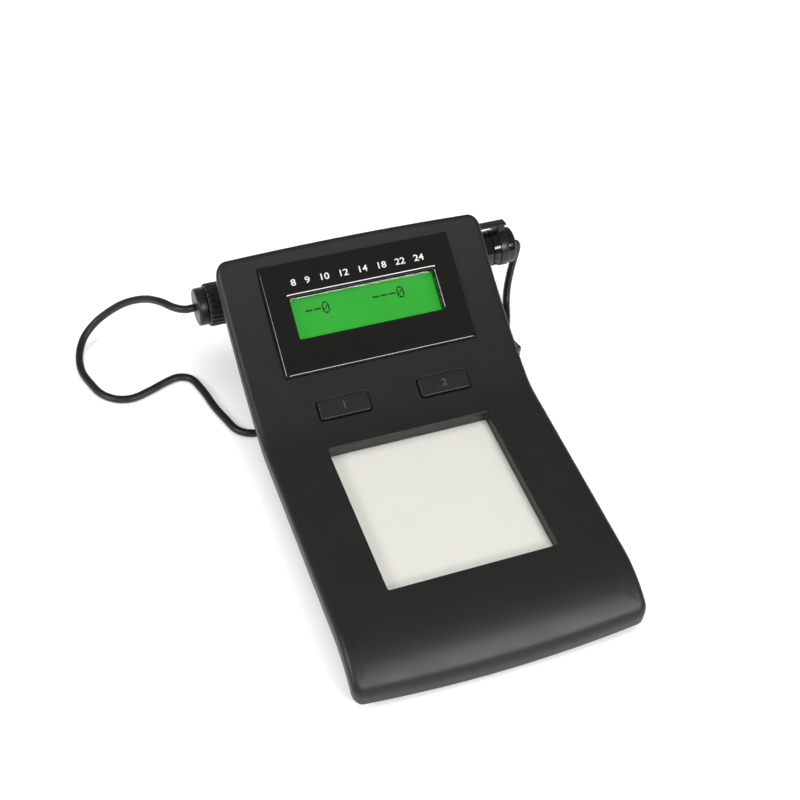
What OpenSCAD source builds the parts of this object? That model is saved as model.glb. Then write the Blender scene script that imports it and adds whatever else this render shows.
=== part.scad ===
// Electronic gold tester: a desk unit with a test plate, a lit display, two keys
// and a probe pen that is stored in a tube across the back.
// The origin is the centre of the test plate's top face. +Y points to the display, +Z up.

/* [Cover] */
// Width of the cover
cover_w = 112; // [108:1:120]
// Distance from the plate's centre to the front edge
front_reach = 70; // [68.5:0.5:72]
// Distance from the plate's centre to the back edge
back_reach = 109.5; // [108:0.5:112]
// Height of the cover's flat deck over the plate, which is the depth of the well
deck_z = 5; // [4.5:0.5:7]
// Wall of the cover
cover_wall = 2.4; // [2:0.1:2.8]
// Height of the cover's rim
rim_h = 6.2; // [5.5:0.1:6.4]
// Rounding of the cover's top edge
edge_r = 2.5; // [1.5:0.1:3]
// Radius of the rounded nose
nose_r = 36; // [34:1:40]
// Radius of the bend between deck and ramp
bend_r = 30; // [20:1:40]
// Slope where the ramp starts, in degrees
ramp_angle = 21; // [19:0.5:23]
// Radius of the hollow ramp
ramp_r = 260; // [240:5:320]

/* [Base] */
// Wall of the base
base_wall = 2.2; // [1.8:0.1:2.6]
// Height of the base's underside
base_z = -10.5; // [-11:0.1:-10.2]
// Lean of the side walls, in degrees
side_lean = 15.5; // [12:0.5:17]
// Height of the rubber feet
foot_h = 4.5; // [4.2:0.1:6]
// Diameter of the rubber feet
foot_d = 11; // [8:0.5:12]

/* [Test plate] */
// Width of the well that shows the plate
well_w = 66.4; // [56:0.4:68]
// Length of the well that shows the plate
well_l = 68; // [56:0.5:69]
// Thickness of the plate
plate_t = 1.5; // [1:0.1:1.8]

/* [Keys] */
// Width of a key
key_w = 20; // [14:0.5:24]
// Length of a key along the slope
key_l = 8; // [6:0.2:8.6]
// Distance from the middle to a key's centre
key_x = 21; // [19:0.5:24]
// How far a key stands out of the cover
key_proud = 0.8; // [0.8:0.1:1.4]
// Travel of a key
key_travel = 0.8; // [0.4:0.1:1]

/* [Display] */
// Width of the display panel
panel_w = 81; // [76:1:86]
// Front edge of the display panel
panel_front = 64.5; // [63:0.5:66]
// Back edge of the display panel
panel_back = 104.5; // [103:0.5:105]
// Height of the panel's face over the cover at its ends
panel_proud = 1.3; // [1:0.1:2]
// Width of the view window
view_w = 61; // [52:0.5:62]
// Height of the view window along the slope
view_h = 17; // [13:0.5:18]
// Place of the window's centre
view_y = 87.7; // [87:0.1:88.2]

/* [Probe pen] */
// Diameter of the pen
pen_d = 15; // [13:0.2:15.6]
// How far the pen's end stands out of its tube
pen_out = 17.2; // [16.5:0.1:20]
// Gap between the pen and its tube
pen_gap = 0.3; // [0.2:0.05:0.4]
// Wall of the pen's tube
tube_wall = 1.5; // [1.2:0.1:1.8]
// How far the tube's left end lies inside the cover's left side
tube_in = 6.5; // [6:0.5:8]

/* [Plug] */
// Diameter of the plug's grip ring
ring_d = 17.7; // [16.5:0.1:19]
// Length of the plug's grip ring
ring_len = 8.6; // [7.5:0.1:9]
// Diameter of the plug's back shell
shell_d = 14; // [11:0.5:15]
// Number of ribs on the grip ring
rib_count = 24; // [16:1:30]

/* [Cord] */
// Diameter of the cord
cord_d = 3.2; // [2.4:0.1:3.4]

/* [Switch] */
// Length of the switch's bezel
switch_l = 21; // [19:0.5:22]
// Height of the switch's bezel
switch_h = 15; // [14:0.5:15.4]
// Tilt of the rocker to each side, in degrees
rocker_tilt = 8; // [5:1:10]

/* [Battery] */
// Diameter of a cell
cell_d = 10.5; // [10:0.1:10.6]
// Length of a cell
cell_len = 44.5; // [40:0.5:45]
// Number of cells side by side
cell_count = 3; // [1:1:3]

/* [Hidden] */
$fn = 48;
eps = 0.02;
fit = 0.1;          // gap between pieces that lie on each other
part_gap = 0.2;     // gap between the two halves of the housing

// Side profile of the cover: nose arc, flat deck, bend arc and hollow ramp.
nose_start = 42;
bend_start = 38;
bend_end = bend_start + bend_r * sin(ramp_angle);
ramp_cy = bend_end - ramp_r * sin(ramp_angle);
ramp_cz = deck_z + bend_r * (1 - cos(ramp_angle)) + ramp_r * cos(ramp_angle);
function top_z(y) =
    y < -nose_start ? deck_z - nose_r + sqrt(pow(nose_r, 2) - pow(y + nose_start, 2)) :
    y < bend_start ? deck_z :
    y < bend_end ? deck_z + bend_r - sqrt(pow(bend_r, 2) - pow(y - bend_start, 2)) :
    ramp_cz - sqrt(pow(ramp_r, 2) - pow(y - ramp_cy, 2));
function ramp_slope(y) = asin((y - ramp_cy) / ramp_r);

// Plan outline: straight sides, and front and back edges that bow outward.
front_bow = 2.5;
back_bow = 0.8;
front_corner = 4;
back_corner = 5;
least_corner = 1.2;
nose_steps = 6;
bend_steps = 5;
ramp_steps = 10;
corner_steps = 4;
edge_steps = 4;
function front_line(x) = -front_reach + front_bow * pow(2 * x / cover_w, 2);
function back_line(x) = back_reach - back_bow * pow(2 * x / cover_w, 2);
side_front = front_line(cover_w / 2) + front_corner;
side_back = back_line(cover_w / 2) - back_corner;
nose_turn = asin((-side_front - nose_start) / nose_r);
stations = concat(
    [for (i = [1:nose_steps]) -nose_start - nose_r * sin(nose_turn * (1 - i / nose_steps))],
    [for (i = [0:bend_steps]) bend_start + bend_r * sin(ramp_angle * i / bend_steps)],
    [for (i = [1:ramp_steps - 1]) bend_end + (side_back - bend_end) * i / ramp_steps]);
squeeze = 0.4;      // least step between stations that a large inset pushes together

// Right half of the outline, moved in by its own amount at the sides, front and back.
function half_outline(side, front, back, least = [least_corner, least_corner]) = let (
    w = cover_w / 2 - side,
    rf = max(front_corner - max(side, front), least[0]),
    rb = max(back_corner - max(side, back), least[1]),
    yf = front_line(w - rf) + front + rf,
    yb = back_line(w - rb) - back - rb,
    n = len(stations))
    concat(
        [for (i = [0:edge_steps - 1]) let (x = (w - rf) * i / edge_steps) [x, front_line(x) + front]],
        [for (i = [0:corner_steps]) let (a = 90 * i / corner_steps) [w - rf + rf * sin(a), yf - rf * cos(a)]],
        [for (i = [0:n - 1]) [w, max(yf + squeeze * (i + 1), min(yb - squeeze * (n - i), stations[i]))]],
        [for (i = [0:corner_steps]) let (a = 90 * i / corner_steps) [w - rb + rb * cos(a), yb + rb * sin(a)]],
        [for (i = [1:edge_steps]) let (x = (w - rb) * (1 - i / edge_steps)) [x, back_line(x) - back]]);
rim_line = half_outline(0, 0, 0);
half_count = len(rim_line);
loop_count = 2 * half_count - 2;
rim_z = [for (p = rim_line) top_z(p.y) - rim_h];

// A ring closes the half outline by its mirror image.
function ring(half, z) = concat(
    [for (i = [0:half_count - 1]) [half[i].x, half[i].y, z[i]]],
    [for (i = [half_count - 2:-1:1]) [-half[i].x, half[i].y, z[i]]]);
function dropped(half, drop) = [for (p = half) top_z(p.y) - drop];
function level(z) = [for (i = [0:half_count - 1]) z];

// Closed shell through a stack of rings. Both ends are closed by level strips across X.
module ring_stack(rings, upward) {
    last = (len(rings) - 1) * loop_count;
    m = loop_count;
    sides = [for (k = [0:len(rings) - 2]) for (j = [0:m - 1]) let (
        a = k * m + j, b = k * m + (j + 1) % m, c = b + m, d = a + m) each [[a, b, c], [a, c, d]]];
    strips = [for (i = [0:half_count - 2]) let (
        a = i, b = i + 1, c = (m - i - 1) % m, d = (m - i) % m)
        a == d ? [a, b, c] : b == c ? [a, b, d] : [a, b, c, d]];
    first_cap = [for (s = strips) [for (i = [len(s) - 1:-1:0]) s[i]]];
    last_cap = [for (s = strips) [for (i = s) i + last]];
    faces = concat(sides, first_cap, last_cap);
    polyhedron([for (r = rings) each r],
        upward ? [for (f = faces) [for (i = [len(f) - 1:-1:0]) f[i]]] : faces, convexity = 8);
}

// A block centred in X and Y that stands on z = 0.
module block(size) {
    translate([-size.x / 2, -size.y / 2, 0]) cube(size);
}

// A block with rounded upright corners.
module soft_block(size, r) {
    linear_extrude(size.z) {
        square([size.x - 2 * r, size.y], center = true);
        square([size.x, size.y - 2 * r], center = true);
        for (sx = [-1, 1]) for (sy = [-1, 1])
            translate([sx * (size.x / 2 - r), sy * (size.y / 2 - r)]) circle(r);
    }
}

// Places that several pieces share.
key_y = 50;
key_tilt = ramp_slope(key_y);
key_skin = cover_wall * cos(key_tilt);
key_flange_t = 1;
key_flange_top = key_skin + 0.6;
key_stem = 2.2;
key_stem_end = key_flange_top + key_flange_t + key_stem;
tact_h = 3.4;
tact_w = 6;
tact_d = 3.4;
key_board_l = 13;
key_board_top = key_stem_end + key_travel + 0.2 + tact_h;
key_board_t = 1.6;
key_board_w = 78;
key_post_x = key_board_w / 2 - 3.5;
module at_key(side) {
    translate([side * key_x, key_y, top_z(key_y)]) rotate([key_tilt, 0, 0]) children();
}

panel_rise = top_z(panel_back) - top_z(panel_front);
panel_tilt = atan2(panel_rise, panel_back - panel_front);
panel_l = (panel_back - panel_front) / cos(panel_tilt);
panel_y = (panel_back + panel_front) / 2;
panel_z = (top_z(panel_back) + top_z(panel_front)) / 2;
seat_n = -(panel_z - top_z(panel_y)) * cos(panel_tilt) - 0.4;
module at_panel() {
    translate([0, panel_y, panel_z]) rotate([panel_tilt, 0, 0]) children();
}
view_v = (view_y - panel_y) / cos(panel_tilt);
lip = 3.2;          // rolled lip round the window
skirt_n = seat_n - 1.6;
skirt_w = 2.4;
window_t = 0.9;
lcd_top = skirt_n - fit - window_t - fit;
lcd_rim = 4.4;
lcd_frame_w = view_w + 2 * lcd_rim;
lcd_frame_l = view_h + 7;
lcd_frame_h = 4.6;
sheet_t = 0.5;
glass_t = 2.2;
lcd_board_top = lcd_top - lcd_frame_h - fit;
lcd_board_t = 1.6;
lcd_board_w = lcd_frame_w + 9;
lcd_board_front = 16.5;
lcd_board_back = 12;
lcd_post_x = lcd_frame_w / 2 + 2.4;
lcd_post_d = 4;
lcd_post_v = [-lcd_board_front + 3, lcd_board_back - 3];

tube_y = back_reach + 3;
tube_z = 16;
tube_x0 = tube_in - cover_w / 2;
tube_x1 = cover_w / 2 + 0.5;
bore_d = pen_d + 2 * pen_gap;
tube_d = bore_d + 2 * tube_wall;
module along_x(x) {
    translate([x, tube_y, tube_z]) rotate([0, 90, 0]) children();
}

plate_w = well_w + 5.6;
plate_l = well_l + 6;
well_wall = 1.8;
plate_step = 0.4;   // how far the plate's rim lies below its face, under the well's walls
floor_z = base_z + base_wall;
post_x = plate_w / 2 - 4.5;
post_y = plate_l / 2 - 3.5;
post_d = 5;

board_size = 52;
board_t = 1.6;
board_top = -5;
board_hole = board_size / 2 - 5;
small_screw_d = 2;

screw_d = 2.9;
screw_head_d = 5.6;
screw_head_h = 1.1;
screw_sink = 1.2;
screw_len = 10;
screw_hole = 6;
post_hole = 4;
boss_split = -5;
boss_d = 6.4;
front_screw = [cover_w / 2 - 12.5, -36];
back_screw = [33, 65];
front_foot = [cover_w / 2 - 16, -54];
back_foot = [cover_w / 2 - 20, 90];
case_screw_places = [for (p = [front_screw, back_screw]) for (s = [-1, 1]) [s * p.x, p.y]];
foot_places = [for (p = [front_foot, back_foot]) for (s = [-1, 1]) [s * p.x, p.y]];

// Cover: a moulded shell with a rounded edge, made by rings that follow the outline.
edge_rings = 5;
cover_rings = concat(
    [for (k = [edge_rings - 1:-1:0]) let (
        a = 90 * k / (edge_rings - 1),
        in = edge_r * (1 - cos(a)) + eps,
        h = half_outline(in, in, in))
        ring(h, dropped(h, edge_r * (1 - sin(a))))],
    [ring(rim_line, rim_z),
     ring(half_outline(cover_wall, cover_wall, cover_wall), rim_z)],
    [for (step = [[0, 0.6], [0.6, 0]]) let (
        in = cover_wall + step[0],
        h = half_outline(in, in, in))
        ring(h, dropped(h, cover_wall + step[1]))]);

module cover_post(d, hole_d, length, hole_len) {
    translate([0, 0, -length]) difference() {
        cylinder(d = d, h = length);
        translate([0, 0, -eps]) cylinder(d = hole_d, h = hole_len);
    }
}

module top_cover() {
    color([0.09, 0.09, 0.09]) difference() {
        union() {
            ring_stack(cover_rings, false);
            translate([0, 0, part_gap - plate_step]) block([well_w + 2 * well_wall,
                well_l + 2 * well_wall, deck_z + plate_step - part_gap - eps]);
            for (p = case_screw_places) translate([p.x, p.y, top_z(p.y) - cover_wall * 0.7])
                cover_post(boss_d, screw_d + fit, top_z(p.y) - cover_wall * 0.7 - boss_split, screw_hole);
            for (s = [-1, 1]) at_key(s) translate([s * (key_post_x - key_x), 0, -cover_wall / 2])
                cover_post(post_d, small_screw_d + fit, key_board_top - cover_wall / 2 - fit, post_hole);
            for (s = [-1, 1]) for (v = lcd_post_v) at_panel()
                translate([s * lcd_post_x, view_v + v, seat_n - 0.4])
                cover_post(lcd_post_d, small_screw_d + fit, seat_n - 0.4 - lcd_board_top - fit, post_hole);
        }
        translate([0, 0, -1]) block([well_w, well_l, deck_z + 2]);
        for (s = [-1, 1]) at_key(s) translate([0, 0, -cover_wall * 1.6])
            soft_block([key_w + 0.5, key_l + 0.5, 2 * cover_wall + 2], 1.4);
        at_panel() translate([0, 0, seat_n])
            block([panel_w + part_gap, panel_l + part_gap, 10]);
        at_panel() translate([0, view_v, seat_n - 5])
            block([view_w + 2 * skirt_w + 0.4, view_h + 2 * skirt_w + 0.4, 10]);
    }
}

// Base: a moulded tray with leaning walls, a lip inside the cover and the pen's tube.
step_in = 1.4;
lip_gap = cover_wall + part_gap;
lip_w = 1.2;
lip_up = 2.6;
front_edge_t = 1.2;
back_lean = 5;
step_z = [for (z = rim_z) max(z - part_gap, base_z + front_edge_t)];
function lean_in(extra, lean, i) = step_in + extra + (step_z[i] - base_z) * tan(lean);
base_round = [4, 13];   // rounds of the tray's front and back corners at its underside
function leaning_half(extra, front) = [for (i = [0:half_count - 1])
    half_outline(lean_in(extra, side_lean, i), front, lean_in(extra, back_lean, i),
        base_round - [extra, extra])[i]];
lip_line = half_outline(lip_gap, lip_gap + 0.1, lip_gap, [base_round[0] - 1, least_corner]);
lip_inner = half_outline(lip_gap + lip_w, lip_gap + lip_w, lip_gap + lip_w);
function lip_z(half) = [for (i = [0:half_count - 1])
    max(top_z(half[i].y) - rim_h + lip_up, step_z[i] + 0.2)];
base_rings = [
    ring(leaning_half(0, lip_gap), level(base_z)),
    ring(half_outline(step_in, lip_gap, step_in, [base_round[0], least_corner]), step_z),
    ring(lip_line, step_z),
    ring(lip_line, lip_z(lip_line)),
    ring(lip_inner, lip_z(lip_inner)),
    ring(leaning_half(base_wall, lip_gap + 6), level(floor_z))];

switch_y = 72;
switch_z = -2;
switch_cut = [switch_l - 2, switch_h - 2.4];
pad_x = cover_w / 2 + 1.6;
pad_w = switch_l + 2;
pad_top = switch_z + switch_cut.y / 2 + 1.1;
pad_t = 1.8;

cell_pitch = cell_d + 0.4;
cell_y = 84;
cell_bottom = base_z + 1.9;
bay_w = cell_len + 5.9;
bay_l = 33.1;
bay_top = cell_bottom + cell_d + 0.4;
bay_wall = 1.6;
door_w = bay_w + 5;
door_t = 1.6;
tongue_w = 1.2;
tongue_t = 0.8;
door_gap = 0.3;
door_front = cell_y - bay_l / 2 - 3.2;
door_back = 104;

module base_shell() {
    color([0.08, 0.08, 0.08]) difference() {
        union() {
            ring_stack(base_rings, true);
            along_x(tube_x0) cylinder(d = tube_d, h = tube_x1 - tube_x0);
            translate([pad_x - 10, switch_y - pad_w / 2, base_z])
                cube([10, pad_w, pad_top - base_z]);
            translate([0, cell_y, floor_z - eps])
                block([bay_w + 2 * bay_wall, bay_l + 2 * bay_wall, bay_top + 1.2 - floor_z]);
            for (sx = [-1, 1]) for (sy = [-1, 1]) {
                translate([sx * post_x, sy * post_y, floor_z - eps])
                    cylinder(d = post_d, h = -plate_t - fit - floor_z);
                translate([sx * board_hole, sy * board_hole, floor_z - eps])
                    cylinder(d = 5, h = board_top - board_t - fit - floor_z);
            }
            for (p = case_screw_places) translate([p.x, p.y, floor_z - eps])
                cylinder(d = boss_d + 0.6, h = boss_split - part_gap - floor_z);
        }
        along_x(tube_x0 - 1) cylinder(d = bore_d, h = tube_x1 - tube_x0 + 2);
        along_x(tube_x0 - ring_len - 4) cylinder(d = tube_d + 0.8, h = ring_len + 4);
        translate([pad_x - pad_t - 16, switch_y - switch_cut.x / 2 - 0.4, floor_z])
            cube([16, switch_cut.x + 0.8, pad_top - 0.8 - floor_z]);
        translate([pad_x - 8, switch_y - switch_cut.x / 2 - fit, switch_z - switch_cut.y / 2 - fit])
            cube([10, switch_cut.x + 2 * fit, switch_cut.y + 2 * fit]);
        translate([0, cell_y, base_z - 1]) block([bay_w, bay_l, bay_top - base_z + 1]);
        translate([0, door_front - door_gap, base_z - 1]) {
            translate([-door_w / 2 - door_gap, 0, 0])
                cube([door_w + 2 * door_gap, 60, door_t + 1 + 0.2]);
            translate([-door_w / 2 - tongue_w - door_gap, 0, 1 + door_t - tongue_t - 0.2])
                cube([door_w + 2 * (tongue_w + door_gap), 60, tongue_t + 0.4]);
        }
        for (sx = [-1, 1]) for (sy = [-1, 1])
            translate([sx * board_hole, sy * board_hole, floor_z]) cylinder(d = small_screw_d + fit, h = 9);
        for (p = case_screw_places) translate([p.x, p.y, base_z - 1]) {
            cylinder(d = screw_d + 0.4, h = 9);
            cylinder(d = screw_head_d + 0.6, h = screw_sink + 1);
        }
    }
}

// Display panel: a raised gloss frame with a soft bevel and a lip that rolls into the window.
panel_bevel = 1.2;
module panel_layer(inset, z) {
    translate([0, 0, z]) linear_extrude(eps) difference() {
        square([panel_w - 2 * inset, panel_l - 2 * inset], center = true);
        for (s = [-1, 1]) translate([s * (panel_w / 2 - inset), panel_l / 2 - inset])
            rotate(45) square(1.4, center = true);
    }
}

module display_panel() {
    color([0.11, 0.10, 0.09]) at_panel() difference() {
        union() {
            hull() {
                panel_layer(0, seat_n + fit);
                panel_layer(0, panel_proud - panel_bevel);
                panel_layer(panel_bevel * 0.3, panel_proud - panel_bevel * 0.3);
                panel_layer(panel_bevel, panel_proud - eps);
            }
            translate([0, view_v, skirt_n])
                block([view_w + 2 * skirt_w, view_h + 2 * skirt_w, seat_n - skirt_n + 1]);
        }
        translate([0, view_v, skirt_n - 1]) block([view_w, view_h, 10]);
        hull() for (k = [0:3]) translate([0, view_v, panel_proud - lip * 0.5 * cos(30 * k)])
            block([view_w + lip * 2 * (1 - cos(30 * k)), view_h + lip * (1 - cos(30 * k)) * 0.8, k * 0.3 + eps]);
    }
}

module display_window() {
    color([0.7, 0.9, 0.7, 0.4]) at_panel() translate([0, view_v, skirt_n - fit - window_t])
        block([lcd_frame_w, lcd_frame_l, window_t]);
}

module lcd_frame() {
    color([0.25, 0.25, 0.26]) at_panel() translate([0, view_v, lcd_top - lcd_frame_h]) difference() {
        block([lcd_frame_w, lcd_frame_l, lcd_frame_h]);
        translate([0, 0, -eps]) block([lcd_frame_w - 2 * sheet_t, lcd_frame_l - 2 * sheet_t,
            lcd_frame_h - sheet_t]);
        translate([0, 0, lcd_frame_h - 1]) block([view_w + 1, view_h + 1, 2]);
    }
}

lcd_inner = [lcd_frame_w - 2 * sheet_t - 2 * fit, lcd_frame_l - 2 * sheet_t - 2 * fit];
module lcd_glass() {
    color([0.18, 0.7, 0.2]) at_panel()
        translate([0, view_v, lcd_top - sheet_t - fit - glass_t]) block([lcd_inner.x, lcd_inner.y, glass_t]);
}

module lcd_backlight() {
    h = lcd_frame_h - sheet_t - glass_t - 2 * fit;
    color([0.9, 0.95, 0.9]) at_panel()
        translate([0, view_v, lcd_board_top + fit]) block([lcd_inner.x, lcd_inner.y, h - fit]);
}

module lcd_board() {
    color([0.05, 0.3, 0.12]) at_panel() translate([0, view_v, lcd_board_top - lcd_board_t]) difference() {
        translate([0, (lcd_board_back - lcd_board_front) / 2, 0])
            block([lcd_board_w, lcd_board_back + lcd_board_front, lcd_board_t]);
        for (s = [-1, 1]) for (v = lcd_post_v) translate([s * lcd_post_x, v, -1])
            cylinder(d = small_screw_d + fit, h = 4);
    }
}

// Keys: a rounded cap, a flange that keeps it under the cover and a stem over the switch.
module key_body() {
    color([0.1, 0.1, 0.1]) {
        translate([0, 0, -key_flange_top]) soft_block([key_w, key_l, key_flange_top + key_proud], 1.2);
        translate([0, 0, -key_flange_top - key_flange_t])
            soft_block([key_w + 3, key_l + 2.4, key_flange_t], 1.2);
        translate([0, 0, -key_stem_end]) cylinder(d = 4, h = key_stem + eps);
    }
}

module left_key() {
    at_key(-1) key_body();
}

module right_key() {
    at_key(1) key_body();
}

module key_switches() {
    color([0.2, 0.2, 0.2]) for (s = [-1, 1]) at_key(s) {
        translate([0, 0, -key_board_top]) block([tact_w, tact_w, tact_h - 0.6]);
        translate([0, 0, -key_board_top + tact_h - 0.6 - eps]) cylinder(d = tact_d, h = 0.6);
    }
}

module key_board() {
    color([0.05, 0.3, 0.12]) translate([0, key_y, top_z(key_y)]) rotate([key_tilt, 0, 0])
        translate([0, 0, -key_board_top - key_board_t]) difference() {
            block([key_board_w, key_board_l, key_board_t - eps]);
            for (s = [-1, 1]) translate([s * key_post_x, 0, -1]) cylinder(d = small_screw_d + fit, h = 4);
        }
}

// Test plate with a stepped rim that the well's walls hold down, and the electronics below it.
module test_plate() {
    color([0.8, 0.8, 0.76]) translate([0, 0, -plate_t]) {
        block([plate_w, plate_l, plate_t - plate_step]);
        block([well_w - 2 * part_gap, well_l - 2 * part_gap, plate_t]);
    }
}

finger_t = 0.3;
module plate_contact() {
    reach = -plate_t - fit - board_top;
    color([0.85, 0.7, 0.35]) translate([-2, 8, board_top]) rotate([90, 0, 90]) linear_extrude(4)
        polygon([[0, 0], [4, 0], [4, finger_t], [1, finger_t], [7.5, reach - finger_t],
            [9, reach - finger_t], [9, reach], [7.2, reach], [0, finger_t]]);
}

module main_board() {
    color([0.05, 0.3, 0.12]) translate([0, 0, board_top - board_t]) difference() {
        block([board_size, board_size, board_t]);
        for (sx = [-1, 1]) for (sy = [-1, 1]) translate([sx * board_hole, sy * board_hole, -1])
            cylinder(d = small_screw_d + fit, h = 4);
    }
}

module main_chip() {
    body = 10;
    pitch = 1.27;
    color([0.06, 0.06, 0.06]) translate([-10, -8, board_top]) {
        translate([0, 0, 0.2]) block([body, body, 1.5]);
        for (s = [-1, 1]) for (i = [-3:3]) translate([s * (body / 2 + 0.6), i * pitch, 0])
            block([1.4, 0.5, 0.6]);
    }
}

module board_capacitors() {
    color([0.5, 0.5, 0.55]) for (i = [0:2]) translate([12, -12 + 7 * i, board_top]) {
        block([4.4, 4.4, 0.5]);
        cylinder(d = 4, h = 2.6);
    }
}

// Socket in the tube's left end, and the plug that pushes onto its collar.
flange_t = 1.5;
flange_x = tube_x0 - flange_t;
collar_d = 11.6;
collar_len = 6;
socket_len = 12;
pin_count = 3;
pin_ring = 3;
pin_d = 1.2;
contact_out = 3;
contact_x1 = tube_x0 + socket_len + contact_out;
module socket_pins(d, x0, x1) {
    for (i = [0:pin_count - 1]) translate([0, tube_y, tube_z]) rotate([i * 360 / pin_count, 0, 0])
        translate([x0, 0, pin_ring]) rotate([0, 90, 0]) cylinder(d = d, h = x1 - x0);
}

module probe_socket() {
    color([0.1, 0.1, 0.1]) difference() {
        union() {
            along_x(tube_x0 - eps) cylinder(d = bore_d - 2 * fit, h = socket_len);
            along_x(flange_x) cylinder(d = tube_d - 0.4, h = flange_t);
            along_x(flange_x - collar_len) cylinder(d = collar_d, h = collar_len + eps);
        }
        socket_pins(pin_d + 0.4, flange_x - collar_len - 1, tube_x0 + socket_len + 1);
    }
}

module socket_contacts() {
    color([0.85, 0.7, 0.35]) socket_pins(pin_d + 0.3, tube_x0 + 2, contact_x1);
}

ring_x = flange_x - 0.3 - ring_len;
ring_bore = collar_d + 0.2;
module plug_ring() {
    rib_d = 0.9;
    color([0.12, 0.12, 0.12]) difference() {
        union() {
            along_x(ring_x) cylinder(d = ring_d - rib_d, h = ring_len);
            for (i = [0:rib_count - 1]) along_x(ring_x + 0.8) rotate(i * 360 / rib_count)
                translate([(ring_d - rib_d) / 2, 0, 0]) cylinder(d = rib_d, h = ring_len - 1.6, $fn = 6);
        }
        along_x(ring_x - 1) cylinder(d = ring_bore, h = ring_len + 2);
    }
}

shell_len = 3.1;
insert_d = ring_bore - 2 * fit;
insert_t = 1.6;
module plug_insert() {
    color([0.75, 0.75, 0.75]) {
        along_x(ring_x + fit) cylinder(d = insert_d, h = insert_t);
        socket_pins(pin_d, ring_x + insert_t, flange_x - 1);
    }
}

module plug_shell() {
    edge = 0.8;
    color([0.1, 0.1, 0.1]) along_x(ring_x - shell_len) rotate_extrude()
        polygon([[0, 0], [shell_d / 2 - edge, 0], [shell_d / 2 - edge * 0.3, edge * 0.3],
            [shell_d / 2, edge], [shell_d / 2, shell_len - fit], [0, shell_len - fit]]);
}

// Probe pen, stored in the tube with its tip inwards, a gap away from the socket's contacts.
tip_gap = 4.1;
tip_d = 3;
tip_len = 6;
nose_len = 16;
tail_len = 9;
pen_x1 = tube_x1 + pen_out;
barrel_x1 = pen_x1 - tail_len;
nose_x0 = contact_x1 + tip_gap + tip_len + fit;
barrel_x0 = nose_x0 + nose_len;
module pen_barrel() {
    color([0.05, 0.05, 0.05]) along_x(barrel_x0) rotate_extrude()
        polygon([[0, 0], [pen_d / 2 - 0.4, 0], [pen_d / 2, 0.4],
            [pen_d / 2, barrel_x1 - barrel_x0], [0, barrel_x1 - barrel_x0]]);
}

module pen_tail_cap() {
    round_r = 3;
    relief_d = 5;
    relief_len = 1.6;
    length = pen_x1 - relief_len - barrel_x1 - fit;
    color([0.05, 0.05, 0.05]) along_x(barrel_x1 + fit) {
        rotate_extrude() polygon(concat([[0, 0], [pen_d / 2, 0]],
            [for (a = [0:15:90]) [pen_d / 2 - round_r * (1 - cos(a)), length - round_r * (1 - sin(a))]],
            [[0, length]]));
        translate([0, 0, length - eps]) cylinder(d1 = relief_d, d2 = relief_d - 1, h = relief_len);
    }
}

clip_turn = 42;
clip_w = 5;
clip_t = 1.2;
clip_len = 33.7;
collar_w = 3.4;
clip_x1 = barrel_x1 - 1;
clip_x0 = clip_x1 - clip_len;
clip_r = tube_d / 2 + 0.5;
module pen_clip() {
    color([0.07, 0.07, 0.07]) {
        difference() {
            union() {
                along_x(clip_x1 - collar_w) cylinder(d = pen_d + 2.4, h = collar_w);
                translate([0, tube_y, tube_z]) rotate([clip_turn, 0, 0]) {
                    translate([clip_x1 - collar_w, pen_d / 2, -clip_w / 2])
                        cube([collar_w, clip_r + clip_t - pen_d / 2, clip_w]);
                    translate([clip_x0, clip_r, -clip_w / 2])
                        cube([clip_x1 - clip_x0, clip_t, clip_w]);
                    translate([clip_x0 + 2, clip_r + 0.6, 0]) rotate([0, 0, 0])
                        cylinder(r = 0.9, h = clip_w, center = true);
                }
            }
            along_x(clip_x1 - collar_w - 1) cylinder(d = pen_d + 0.1, h = collar_w + 2);
        }
    }
}

module pen_nose() {
    color([0.06, 0.06, 0.06]) along_x(nose_x0) rotate_extrude()
        polygon([[0, 0], [tip_d / 2 + 1, 0], [tip_d / 2 + 1.4, 2], [pen_d / 2 - 1, nose_len - 3],
            [pen_d / 2 - 0.6, nose_len - fit], [0, nose_len - fit]]);
}

module pen_electrode() {
    color([0.8, 0.8, 0.8]) along_x(nose_x0 - tip_len - fit) rotate_extrude()
        polygon([[0, 0], [0.5, 0.1], [tip_d / 2, 2], [tip_d / 2, tip_len], [0, tip_len]]);
}

// Rocker switch on the right wall.
face_x = pad_x + 2;
pivot_x = pad_x - 0.5;
frame_in = [switch_l - 3.4, switch_h - 4.4];
switch_depth = 15;
tab_len = 6;
tab_w = 4.8;
tab_t = 0.8;
tab_pitch = 5;
module switch_frame() {
    color([0.07, 0.07, 0.07]) difference() {
        union() {
            translate([pad_x, switch_y - switch_l / 2, switch_z - switch_h / 2])
                cube([2, switch_l, switch_h]);
            translate([pad_x - switch_depth, switch_y - switch_cut.x / 2, switch_z - switch_cut.y / 2])
                cube([switch_depth + eps, switch_cut.x, switch_cut.y]);
            for (i = [-1:1]) translate([pad_x - switch_depth - tab_len,
                    switch_y + tab_pitch * i - tab_t / 2, switch_z - tab_w / 2])
                cube([tab_len + eps, tab_t, tab_w]);
        }
        translate([pad_x - 10, switch_y - frame_in.x / 2, switch_z - frame_in.y / 2])
            cube([20, frame_in.x, frame_in.y]);
        translate([pivot_x, switch_y, switch_z]) cylinder(d = 2.2, h = frame_in.y + 1.2, center = true);
    }
}

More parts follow.
